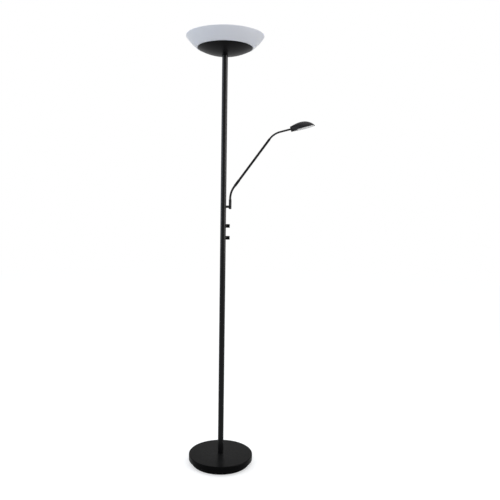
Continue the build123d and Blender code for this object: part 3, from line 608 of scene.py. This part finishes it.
# ------------------------------------------------------------------ knobs
# Push-on knobs of black plastic: a plain band at the back, fine flutes for the
# fingers, a soft crown and a raised pointer on the front.
KNOB_RADIUS = 7.9
KNOB_START = 12.8
KNOB_EDGE = 0.4
FLUTES, FLUTE_SHARE = 30, 0.94
FLUTE_LOW, FLUTE_HIGH = 2.2, 12.4
CROWN = ((13.8, 1.0), (14.35, 0.975), (14.8, 0.925), (15.08, 0.87), (15.2, 0.82), (15.2, 0.70),
         (15.0, 0.67), (15.0, 0.3))  # height and share of the radius
SHAFT_POCKET = ((-0.4, 6.3), (3.4, 6.3), (3.4, 3.8), (5.2, 3.8), (5.2, 3.05), (8.6, 3.05))
POINTER_SIZE, POINTER_PLACE = (0.9, 4.6, 0.6), (0, 2.7, 15.0)
knob_plastic = finish("black knob plastic", (0.0045, 0.0045, 0.0048), (0.007, 0.007, 0.0073),
                      (0.34, 0.46), 1700.0, 0.012, patches=90.0, specular=0.0, gloss=0.10,
                      dusty=0.008, worn=0.15, bare=(0.05, 0.05, 0.05))


def spread(lines):
    """Largest distance of an edge loop from the Z axis."""
    return max(v.co.xy.length for line in lines for v in line.verts)


def drawn(mesh, lines):
    """Draws an edge loop out of itself; gives the new points and the new loop."""
    out = bmesh.ops.extrude_edge_only(mesh, edges=lines)["geom"]
    points = [g for g in out if isinstance(g, bmesh.types.BMVert)]
    return points, [g for g in out if isinstance(g, bmesh.types.BMEdge)
                    and all(v in points for v in g.verts)]


def raised(mesh, lines, height, scale=1.0):
    """Draws an edge loop out to a height and a scale; gives the new loop."""
    points, loop = drawn(mesh, lines)
    for point in points:
        point.co = (point.co.x * scale, point.co.y * scale, height)
    return loop


for label, node, body, level in (
    ("dimmer_knob_lower", "knob_lower", "lower_knob", KNOB_LEVELS[0]),
    ("dimmer_knob_upper", "knob_upper", "upper_knob", KNOB_LEVELS[1]),
):
    mesh = bmesh.new()
    bmesh.ops.create_circle(mesh, segments=FLUTES * 4, radius=KNOB_RADIUS - KNOB_EDGE,
                            matrix=Matrix.Translation((0, 0, -KNOB_EDGE)))
    loop = raised(mesh, mesh.edges[:], KNOB_EDGE, KNOB_RADIUS / (KNOB_RADIUS - KNOB_EDGE))
    loop = raised(mesh, loop, FLUTE_LOW - 0.3)
    loop = raised(mesh, loop, FLUTE_LOW)
    fluted = {v for line in loop for v in line.verts}
    loop = raised(mesh, loop, FLUTE_HIGH)
    fluted |= {v for line in loop for v in line.verts}
    loop = raised(mesh, loop, FLUTE_HIGH + 0.4)
    for height, share in CROWN:
        loop = raised(mesh, loop, height, KNOB_RADIUS * share / spread(loop))
    bmesh.ops.contextual_create(mesh, geom=loop)
    for point in fluted:
        if round(math.atan2(point.co.y, point.co.x) / (2 * math.pi) * FLUTES * 4) % 4 == 0:
            point.co.xy *= FLUTE_SHARE
    back = [line for line in mesh.edges if line.is_boundary]
    for height, radius in SHAFT_POCKET:
        back = raised(mesh, back, height, radius / spread(back))
    bmesh.ops.contextual_create(mesh, geom=back)
    bar = bmesh.ops.create_cube(mesh, size=1.0)["verts"]
    bmesh.ops.scale(mesh, vec=POINTER_SIZE, verts=bar)
    bmesh.ops.translate(mesh, vec=POINTER_PLACE, verts=bar)
    edges = list({e for v in bar for e in v.link_edges})
    bmesh.ops.bevel(mesh, geom=edges, offset=0.14, segments=2, profile=0.5, affect="EDGES",
                    material=-1)
    knob = piece(label, mesh, knob_plastic, Matrix.Translation((KNOB_START, 0, level)) @ facing_arm)
    even(knob)
    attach(knob, body)
    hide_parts(node)

# ------------------------------------------------------------------ arm bracket
# Short steel stub through the pole with an upright sleeve brazed to its end;
# a ring of braze closes the joint, and a saddle and nut hold it inside.
STUB_RADIUS = 5.2
SLEEVE_X = 28.4
SLEEVE_RADIUS = 5.9
SLEEVE_LOW, SLEEVE_HIGH = STUB_LEVEL - 9.9, STUB_LEVEL + 30.6
SOCKET_RADIUS, SOCKET_DEPTH = 4.75, 8.3
SHANK_RADIUS, WIRE_BORE = 4.0, 2.2
BRAZE_START, STUB_END = 21.0, 25.5
BRAZE_RADIUS = STUB_RADIUS + 0.5
pole_side = POLE_RADIUS + 0.05
socket_floor = SLEEVE_HIGH - SOCKET_DEPTH
mesh = turned(outline(
    (0, SLEEVE_LOW, 0), (SLEEVE_RADIUS, SLEEVE_LOW, 2.0), (SLEEVE_RADIUS, SLEEVE_HIGH, 0.35),
    (SOCKET_RADIUS, SLEEVE_HIGH, 0.25), (SOCKET_RADIUS, socket_floor, 0),
    (WIRE_BORE, socket_floor, 0), (WIRE_BORE, STUB_LEVEL, 0), (0, STUB_LEVEL, 0)), 56)
moved(mesh, Matrix.Translation((SLEEVE_X, 0, 0)))
along = Matrix.Translation((0, 0, STUB_LEVEL)) @ facing_arm
stub = moved(turned(outline(
    (WIRE_BORE, 1.0, 0.2), (SHANK_RADIUS, 1.0, 0.4), (SHANK_RADIUS, pole_side, 0),
    (STUB_RADIUS, pole_side, 0.2), (STUB_RADIUS, BRAZE_START, 0),
    (STUB_RADIUS + 0.15, BRAZE_START + 1.2, 0), (BRAZE_RADIUS, BRAZE_START + 2.1, 0),
    (BRAZE_RADIUS, STUB_END, 0), (WIRE_BORE, STUB_END, 0)), 56), along)
joined = bpy.data.meshes.new("stub")
stub.to_mesh(joined)
stub.free()
mesh.from_mesh(joined)
bpy.data.meshes.remove(joined)
bracket = piece("arm_stub_and_sleeve", mesh, satin_black)
even(bracket)
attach(bracket, "stand")
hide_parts("arm_bracket")
cad_finish(zinc, "bracket_saddle", "bracket_nut")


# ------------------------------------------------------------------ flexible necks
# Each neck is a close-wound steel spiral, dipped in black, whose turns show as
# fine ribs. Each is built in two halves that meet at its middle.
def arm_frame(x, z, rise):
    """Frame across the arm: X to the back, Y to its upper side, Z along it."""
    a = math.radians(rise)
    across = Matrix(((0, -math.sin(a), math.cos(a)), (1, 0, 0), (0, math.cos(a), math.sin(a))))
    return Matrix.Translation((x, 0, z)) @ across.to_4x4()


def on_neck(start, lead, bend, turn, s):
    """Frame at length s: a straight lead, an arc of radius bend, straight on."""
    x, z, rise = start
    a = math.radians(rise)
    arc = bend * math.radians(turn)
    b = a - min(max(s - lead, 0.0), arc) / bend
    first, last = min(s, lead), max(s - lead - arc, 0.0)
    x += first * math.cos(a) + bend * (math.sin(a) - math.sin(b)) + last * math.cos(b)
    z += first * math.sin(a) + bend * (math.cos(b) - math.cos(a)) + last * math.sin(b)
    return arm_frame(x, z, math.degrees(b))


NECK_SEAT = 8.0
RIB_PITCH = 2.2
RIB_DEPTH = 0.42
RIB = ((0.0, RIB_DEPTH), (0.14, 0.16), (0.32, 0.02), (0.5, 0.0), (0.68, 0.02), (0.86, 0.16),
       (1.0, RIB_DEPTH))  # share of the pitch and depth below the crest
SPARE_TURNS = 5
neck_paint = finish("dipped black spiral", (0.006, 0.006, 0.0065), (0.010, 0.010, 0.0105),
                    (0.34, 0.44), 1500.0, 0.01, patches=60.0, specular=0.0, gloss=0.21,
                    dusty=0.01, worn=0.2, bare=(0.06, 0.06, 0.063))


def wound_half(radius, start, end, whole):
    """Spiral tube between two lengths of a neck, closed at both ends."""
    mesh = bmesh.new()
    points = [mesh.verts.new((radius - depth, 0, (share - SPARE_TURNS) * RIB_PITCH))
              for share, depth in RIB]
    lines = [mesh.edges.new(pair) for pair in zip(points, points[1:])]
    turns = math.ceil(whole / RIB_PITCH) + 2 * SPARE_TURNS
    steps = 26
    bmesh.ops.spin(mesh, geom=points + lines, cent=(0, 0, 0), axis=(0, 0, 1),
                   angle=2 * math.pi * turns, dvec=(0, 0, RIB_PITCH / steps), steps=steps * turns)
    bmesh.ops.remove_doubles(mesh, verts=mesh.verts, dist=0.01)
    for level, away in ((start, -1), (end, 1)):
        bmesh.ops.bisect_plane(mesh, geom=mesh.verts[:] + mesh.edges[:] + mesh.faces[:],
                               dist=0.0005, plane_co=(0, 0, level), plane_no=(0, 0, away),
                               clear_outer=True)
        rim = [line for line in mesh.edges if line.is_boundary
               and all(abs(v.co.z - level) < 0.001 for v in line.verts)]
        bmesh.ops.contextual_create(mesh, geom=rim)
    return mesh


def bent(mesh, at, whole):
    """Lays a straight mesh along a neck; past its ends it runs straight on."""
    for point in mesh.verts:
        s = min(max(point.co.z, 0.0), whole)
        point.co = at(s) @ Vector((point.co.x, point.co.y, point.co.z - s))
    return mesh


LOWER_RADIUS, LOWER_LENGTH = 4.65, 60.0699
LOWER_LEAD, LOWER_BEND, LOWER_TURN = 3.3, 85.1, 36.0
UPPER_RADIUS, UPPER_LENGTH = 4.0, 97.6929
UPPER_BEND, UPPER_TURN = 78.0, 39.0
ARM_LENGTH = 244.0
ARM_RISE = 54.0


def lower_at(s):
    """Frame at length s of the lower neck, which starts upright in the sleeve."""
    return on_neck((SLEEVE_X, SLEEVE_HIGH, 90.0), LOWER_LEAD, LOWER_BEND, LOWER_TURN, s)


arm_start = lower_at(LOWER_LENGTH)
arm_end = arm_start @ Matrix.Translation((0, 0, ARM_LENGTH))


def upper_at(s):
    """Frame at length s of the upper neck, which goes on from the arm's tube."""
    start = (arm_end.translation.x, arm_end.translation.z, ARM_RISE)
    return on_neck(start, 0.0, UPPER_BEND, UPPER_TURN, s)


for label, node, at, whole, radius, below, hinge_body, above in (
    ("lower_neck", "lower_gooseneck", lower_at, LOWER_LENGTH, LOWER_RADIUS,
     "stand", "lower_neck", "arm"),
    ("upper_neck", "upper_gooseneck", upper_at, UPPER_LENGTH, UPPER_RADIUS,
     "arm", "upper_neck", "head"),
):
    half = whole / 2
    for part, start, end, carrier, follower, low, high in (
        ("_first_half", -NECK_SEAT, half, below, hinge_body, 0.0, half),
        ("_second_half", half, whole + NECK_SEAT, hinge_body, above, half, whole),
    ):
        mesh = bent(wound_half(radius, start, end, whole), at, whole)
        neck = piece(label + part, mesh, neck_paint)
        at(low).translation * MM
        at(high).translation * MM
        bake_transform(neck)
        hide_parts(node)

# ------------------------------------------------------------------ arm tube
# Slim painted steel tube with a turned sleeve at its foot; two fine grooves in
# the sleeve show where it is crimped on the neck and on the tube.
FERRULE_RADIUS = 5.7
FERRULE_LENGTH = 31.0
TUBE_RADIUS = 5.0
TUBE_BORE, TUBE_START = 4.1, 8.6
CRIMPS, CRIMP_DEPTH = (5.2, 24.6), 0.22
around_tube = TUBE_RADIUS + 0.05
crimps = [corner for start in CRIMPS for corner in (
    (FERRULE_RADIUS, start, 0.15), (FERRULE_RADIUS - CRIMP_DEPTH, start + 0.3, 0.1),
    (FERRULE_RADIUS - CRIMP_DEPTH, start + 0.9, 0.1), (FERRULE_RADIUS, start + 1.2, 0.15))]
mesh = turned(outline(
    (SOCKET_RADIUS, 0, 0.2), (FERRULE_RADIUS, 0, 0.5), *crimps,
    (FERRULE_RADIUS, FERRULE_LENGTH, 0.5), (around_tube, FERRULE_LENGTH, 0.2),
    (around_tube, SOCKET_DEPTH, 0), (SOCKET_RADIUS, SOCKET_DEPTH, 0)), 56)
ferrule = piece("crimped_sleeve", mesh, satin_black, arm_start)
even(ferrule)
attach(ferrule, "arm")
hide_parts("arm_ferrule")

mesh = turned(outline((TUBE_BORE, TUBE_START, 0.2), (TUBE_RADIUS, TUBE_START, 0.4),
                      (TUBE_RADIUS, ARM_LENGTH, 0.45), (TUBE_BORE, ARM_LENGTH, 0.3)), 56)
tube = piece("arm_straight_tube", mesh, satin_black, arm_start)
even(tube)
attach(tube, "arm")
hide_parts("arm_tube")

# ------------------------------------------------------------------ reading head
# Deep-drawn metal shell, satin black: a round collar that takes the neck, wide
# shoulders, a domed back and a round nose, open below with a thin rolled rim; a
# small hole under the collar takes its set screw.
HEAD_LENGTH, HEAD_WIDTH, HEAD_HEIGHT = 101.0, 70.0, 30.8
HEAD_HIGHEST, HEAD_WIDEST = 46.0, 60.0
COLLAR_RADIUS, COLLAR_LENGTH, COLLAR_BACK = 11.75, 4.0, 24.0
HEAD_WALL = 1.8
HEAD_RIM = 3.0
HEAD_TURN = 15.0
MOUTH_START, MOUTH_END, INNER_END = 25.8, 100.4, 98.6
SET_SCREW_PLACE, SET_SCREW_HOLE, SET_SCREW_DRILL = 4.0, 1.55, (3.0, 14.0)
neck_end = upper_at(UPPER_LENGTH).translation
head_place = arm_frame(neck_end.x, neck_end.z, HEAD_TURN)
head_paint = finish("satin black head paint", (0.011, 0.0102, 0.0115), (0.0145, 0.0135, 0.015),
                    (0.32, 0.40), 1100.0, 0.006, patches=16.0, specular=0.0, gloss=0.20,
                    dusty=0.02, worn=0.08)


def head_section(u):
    """Half width, top and height of the widest line of the head at length u."""
    ease = min(max((u - COLLAR_LENGTH) / (HEAD_WIDEST - COLLAR_LENGTH), 0.0), 1.0)
    lift = min(max((u - COLLAR_LENGTH) / (HEAD_HIGHEST - COLLAR_LENGTH), 0.0), 1.0)
    half = COLLAR_RADIUS + (HEAD_WIDTH / 2 - COLLAR_RADIUS) * math.sin(math.pi / 2 * ease)
    top = 2 * COLLAR_RADIUS + (HEAD_HEIGHT - 2 * COLLAR_RADIUS) * math.sin(math.pi / 2 * lift)
    if u > HEAD_WIDEST:
        half *= math.sqrt(1 - ((u - HEAD_WIDEST) / (HEAD_LENGTH - HEAD_WIDEST)) ** 2.2)
    if u > HEAD_HIGHEST:
        top *= (1 - ((u - HEAD_HIGHEST) / (HEAD_LENGTH - HEAD_HIGHEST)) ** 2.2) ** 0.76
    drop = min(max((u - COLLAR_LENGTH) / COLLAR_BACK, 0.0), 1.0)
    middle = HEAD_RIM + (COLLAR_RADIUS - HEAD_RIM) * (1 + math.cos(math.pi * drop)) / 2
    return half, top, min(middle, top / 2)


def head_point(u, turn, wall=0.0):
    """Point of the head's section at length u, turn degrees up from its side."""
    half, top, middle = head_section(u)
    a = math.radians(turn)
    height = max((top - middle if math.sin(a) > 0 else middle) - wall, 0.3)
    return Vector(((half - wall) * math.cos(a), middle + height * math.sin(a) - COLLAR_RADIUS, u))


def inward(u):
    """Takes a length inside the mouth to the same place on the wall's inner side."""
    return MOUTH_START + (u - MOUTH_START) * (INNER_END - MOUTH_START) / (MOUTH_END - MOUTH_START)


def below_rim(point):
    """Whether a point of the shell lies on the rolled rim or under it."""
    return 180 + RIM_TURN >= -point[turn] >= -RIM_TURN


ROUND = 36
RIM_TURN = -20
STATIONS = (0.7, 2.4, 4.0, 8.5, 14.0, 20.0, MOUTH_START, 31.0, 38.0, 46.0, 53.0, 60.0, 67.0, 74.0,
            80.5, 86.0, 90.5, 94.0, 96.6, 98.4, 99.6, MOUTH_END, 100.8)
NECK_SOCKET = ((0.0, 5.2), (0.0, 4.5), (0.35, 4.15), (1.2, 4.1), (7.4, 4.1), (8.2, 4.1), (8.3, 3.8))
mesh = bmesh.new()
turn = mesh.verts.layers.int.new("turn")
bmesh.ops.create_circle(mesh, segments=ROUND, radius=COLLAR_RADIUS - 0.7)
for point in mesh.verts:
    point[turn] = round(math.degrees(math.atan2(point.co.y, point.co.x)) / 10) * 10
back = mesh.edges[:]
loop = back
for u in STATIONS:
    points, loop = drawn(mesh, loop)
    for point in points:
        point.co = head_point(u, point[turn])
bmesh.ops.contextual_create(mesh, geom=loop)
mouth = [face for face in mesh.faces if all(
    MOUTH_START - 0.1 < v.co.z < MOUTH_END + 0.1 for v in face.verts)]
below = [face for face in mouth if all(below_rim(v) for v in face.verts)]
above = [face for face in mouth if face not in below]
bmesh.ops.delete(mesh, geom=below, context="FACES")
inner = bmesh.ops.duplicate(mesh, geom=above)["geom"]
for point in inner:
    if isinstance(point, bmesh.types.BMVert) and not below_rim(point):
        point.co = head_point(point.co.z, point[turn], HEAD_WALL)
        point.co.z = inward(point.co.z)
bmesh.ops.remove_doubles(mesh, verts=mesh.verts, dist=0.0005)
for height, radius in NECK_SOCKET:
    back = raised(mesh, back, height, radius / spread(back))
bmesh.ops.contextual_create(mesh, geom=back)
bmesh.ops.holes_fill(mesh, edges=[line for line in mesh.edges if line.is_boundary], sides=0)
shell = piece("reading_head_shell", mesh, head_paint, head_place)
smooth = shell.modifiers.new("smooth form", "SUBSURF")
smooth.levels = smooth.render_levels = 1
downward = Matrix.Rotation(math.radians(90), 4, "X")
under_collar = Matrix.Translation((0, 0, SET_SCREW_PLACE)) @ downward
drilled(shell, moved(rod(SET_SCREW_HOLE, *SET_SCREW_DRILL, 32), head_place @ under_collar))
shell.modifiers.clear()
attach(shell, "head")
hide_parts("head_shell")
cad_finish(zinc, "head_set_screw")

# ------------------------------------------------------------------ reading light
# Frosted plate in the head's mouth, with a white reflector wall and a white
# board of light sources behind it.
LENS_LOW, LENS_HIGH = 0.6, 2.6
LENS_START, LENS_SPAN, LENS_STEPS = 26.5, 73.9, 24
LENS_MARGIN, LENS_FALL = 2.1, 6.0
LENS_PLAY = 0.3


def lens_side(u, height):
    """Half width of the plate at a height above the head's underside."""
    half, _, middle = head_section(u)
    drop = (middle - height) / (middle - LENS_MARGIN + LENS_FALL)
    return (half - LENS_MARGIN) * math.sqrt(1 - drop * drop)


mesh = bmesh.new()
ends = [LENS_START + LENS_SPAN * math.sin(math.pi / 2 * i / LENS_STEPS)
        for i in range(LENS_STEPS + 1)]
right = [mesh.verts.new((lens_side(u, LENS_LOW), LENS_LOW - COLLAR_RADIUS, u)) for u in ends]
left = [mesh.verts.new((-v.co.x, v.co.y, v.co.z)) for v in reversed(right)]
bmesh.ops.contextual_create(mesh, geom=right + left)
top = bmesh.ops.extrude_face_region(mesh, geom=mesh.faces[:], use_keep_orig=True)["geom"]
for point in top:
    if isinstance(point, bmesh.types.BMVert):
        point.co.x = math.copysign(lens_side(point.co.z, LENS_HIGH), point.co.x)
        point.co.y = LENS_HIGH - COLLAR_RADIUS
for point in mesh.verts:
    point.co.z = inward(point.co.z) - LENS_PLAY
rims = [line for line in mesh.edges if len(line.link_faces) == 2 and line.calc_face_angle() > 0.9
        and abs(line.verts[0].co.y - line.verts[1].co.y) < 0.01]
bmesh.ops.bevel(mesh, geom=rims, offset=0.3, segments=2, profile=0.5, affect="EDGES",
                material=-1)
frosted = finish("frosted plate", (0.74, 0.74, 0.73), (0.68, 0.68, 0.67), (0.42, 0.52),
                 1400.0, 0.03, patches=50.0, specular=0.4)
frosted.node_tree.nodes["Principled BSDF"].inputs["Transmission Weight"].default_value = 0.12
lens = piece("reading_light_plate", mesh, frosted, head_place)
even(lens)
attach(lens, "head")
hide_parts("head_lens")
white_board = finish("white board", (0.70, 0.70, 0.68), (0.74, 0.74, 0.72), (0.4, 0.5),
                     1600.0, 0.02, patches=70.0, specular=0.4)
cad_finish(white_board, "head_board", "head_reflector", "led_ring")

# ------------------------------------------------------------------ dish
# Spun steel dish under the glass, satin black inside and out, with a flat seat
# on the pole and a lip turned in under the seal; the lathe left faint rings.
marks, ends_in, ends_out, spot = effect(
    "turning marks",
    [("Rings per metre", "NodeSocketFloat", 1400.0)],
    [("Height", "NodeSocketFloat"), ("Shade", "NodeSocketFloat")],
)
flat = marks.nodes.new("ShaderNodeVectorMath")
flat.operation = "MULTIPLY"
flat.inputs[1].default_value = (1, 1, 0)
marks.links.new(spot, flat.inputs[0])
reach = marks.nodes.new("ShaderNodeVectorMath")
reach.operation = "LENGTH"
marks.links.new(flat.outputs[0], reach.inputs[0])
noise = marks.nodes.new("ShaderNodeTexNoise")
noise.noise_dimensions = "1D"
noise.inputs["Detail"].default_value = 3.0
marks.links.new(reach.outputs["Value"], noise.inputs["W"])
marks.links.new(ends_in.outputs["Rings per metre"], noise.inputs["Scale"])
marks.links.new(noise.outputs["Fac"], ends_out.inputs["Height"])
marks.links.new(ranged(marks, noise.outputs["Fac"], 0.3, 0.7, 0.6, 1.0), ends_out.inputs["Shade"])

DISH_ROUND = 1959.34
DISH_RADIUS, DISH_TOP = 114.5, 1752.0
DISH_SEAT, DISH_LIP = 14.0, 109.0
UNDER_LIP, SEAT_FACE = 1750.8, 1724.1
dish_paint = finish("satin black dish paint", (0.0018, 0.0016, 0.0019), (0.0028, 0.0024, 0.0029),
                    (0.34, 0.42), 1100.0, 0.006, patches=12.0, specular=0.0, gloss=0.13,
                    dusty=0.008, worn=0.06, marks=marks)
mesh = turned(outline(
    (ROD_HOLE, POLE_TOP, 0.1), (DISH_SEAT, POLE_TOP, 0.8, DISH_ROUND),
    (DISH_RADIUS, DISH_TOP, 0.5), (DISH_LIP, DISH_TOP, 0.4), (DISH_LIP, UNDER_LIP, 0.3),
    (109.74, UNDER_LIP, 0, DISH_ROUND), (13.9, SEAT_FACE, 0.3), (ROD_HOLE, SEAT_FACE, 0.1)), 160)
dish = piece("dish", mesh, dish_paint)
even(dish)
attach(dish, "stand")
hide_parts("cup")
cad_finish(zinc, "cup_nipple", "nipple_washer", "nipple_nuts")

# ------------------------------------------------------------------ rim seal
# Thin flat ring of soft black rubber that lies on the dish's lip; the glass
# rests on it and keeps it in place.
SEAL_BORE, SEAL_RADIUS = 110.0, 113.5
GLASS_LOW = 1753.0
mesh = turned(outline((SEAL_BORE, DISH_TOP, 0.3), (SEAL_RADIUS, DISH_TOP, 0.3),
                      (SEAL_RADIUS, GLASS_LOW, 0.3), (SEAL_BORE, GLASS_LOW, 0.3)), 128)
seal = piece("seal_ring", mesh, rubber)
even(seal)
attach(seal, "stand")
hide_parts("rim_seal")

# ------------------------------------------------------------------ glass bowl
# Sagged opal glass, milky through its thickness and satin outside: a flat foot
# ring on the seal, a round wall and a fire-polished edge.
BOWL_ROUND = 1909.64
BOWL_TOP, BOWL_FLOOR, BOWL_HOLE = 1800.0, 1757.0, 106.0
mesh = turned(outline(
    (BOWL_HOLE, GLASS_LOW, 0.8), (118.0, GLASS_LOW, 2.0, BOWL_ROUND), (162.6, BOWL_TOP, 1.6),
    (157.74, BOWL_TOP, 1.6, BOWL_ROUND), (116.63, BOWL_FLOOR, 1.5), (BOWL_HOLE, BOWL_FLOOR, 0.8),
), 192)
opal = finish("opal glass", (0.66, 0.672, 0.705), (0.635, 0.648, 0.683), (0.38, 0.48),
              260.0, 0.01, patches=6.0, specular=0.25, dusty=0.03)
opal_shader = opal.node_tree.nodes["Principled BSDF"]
opal_shader.inputs["Subsurface Weight"].default_value = 0.35
opal_shader.inputs["Subsurface Radius"].default_value = (0.006, 0.006, 0.007)
opal_shader.inputs["Subsurface Scale"].default_value = 1.0
bowl = piece("opal_bowl", mesh, opal)
even(bowl)
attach(bowl, "stand")
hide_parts("glass_bowl")

# ------------------------------------------------------------------ light in the bowl
# An aluminium plate clamps the glass; on it lie a ring board with its light
# sources and, over them, a low opal cover.
CLAMP_RADIUS, CLAMP_TOP = 112.0, 1759.0
aluminium = finish("turned aluminium", (0.62, 0.62, 0.63), (0.74, 0.74, 0.74), (0.28, 0.42),
                   900.0, 0.01, patches=20.0, metallic=1.0, marks=marks, dusty=0.1)
mesh = turned(outline((ROD_HOLE, BOWL_FLOOR, 0.2), (CLAMP_RADIUS, BOWL_FLOOR, 0.4),
                      (CLAMP_RADIUS, CLAMP_TOP, 0.4), (ROD_HOLE, CLAMP_TOP, 0.2)), 128)
clamp = piece("clamp_plate", mesh, aluminium)
even(clamp)
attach(clamp, "stand")
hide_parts("carrier_plate")

HOOD_RADIUS, HOOD_BORE = 104.0, 102.0
HOOD_TOP, HOOD_UNDER = 1769.0, 1767.0
opal_cover = finish("opal cover", (0.78, 0.78, 0.77), (0.74, 0.74, 0.72), (0.38, 0.5),
                    1200.0, 0.02, patches=25.0, specular=0.4, dusty=0.12)
mesh = turned(outline(
    (0, HOOD_TOP, 0), (HOOD_RADIUS, HOOD_TOP, 6.0), (HOOD_RADIUS, CLAMP_TOP, 0.3),
    (HOOD_BORE, CLAMP_TOP, 0.3), (HOOD_BORE, HOOD_UNDER, 4.0), (0, HOOD_UNDER, 0)), 128)
hood = piece("light_cover", mesh, opal_cover)
even(hood)
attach(hood, "stand")
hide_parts("diffuser")
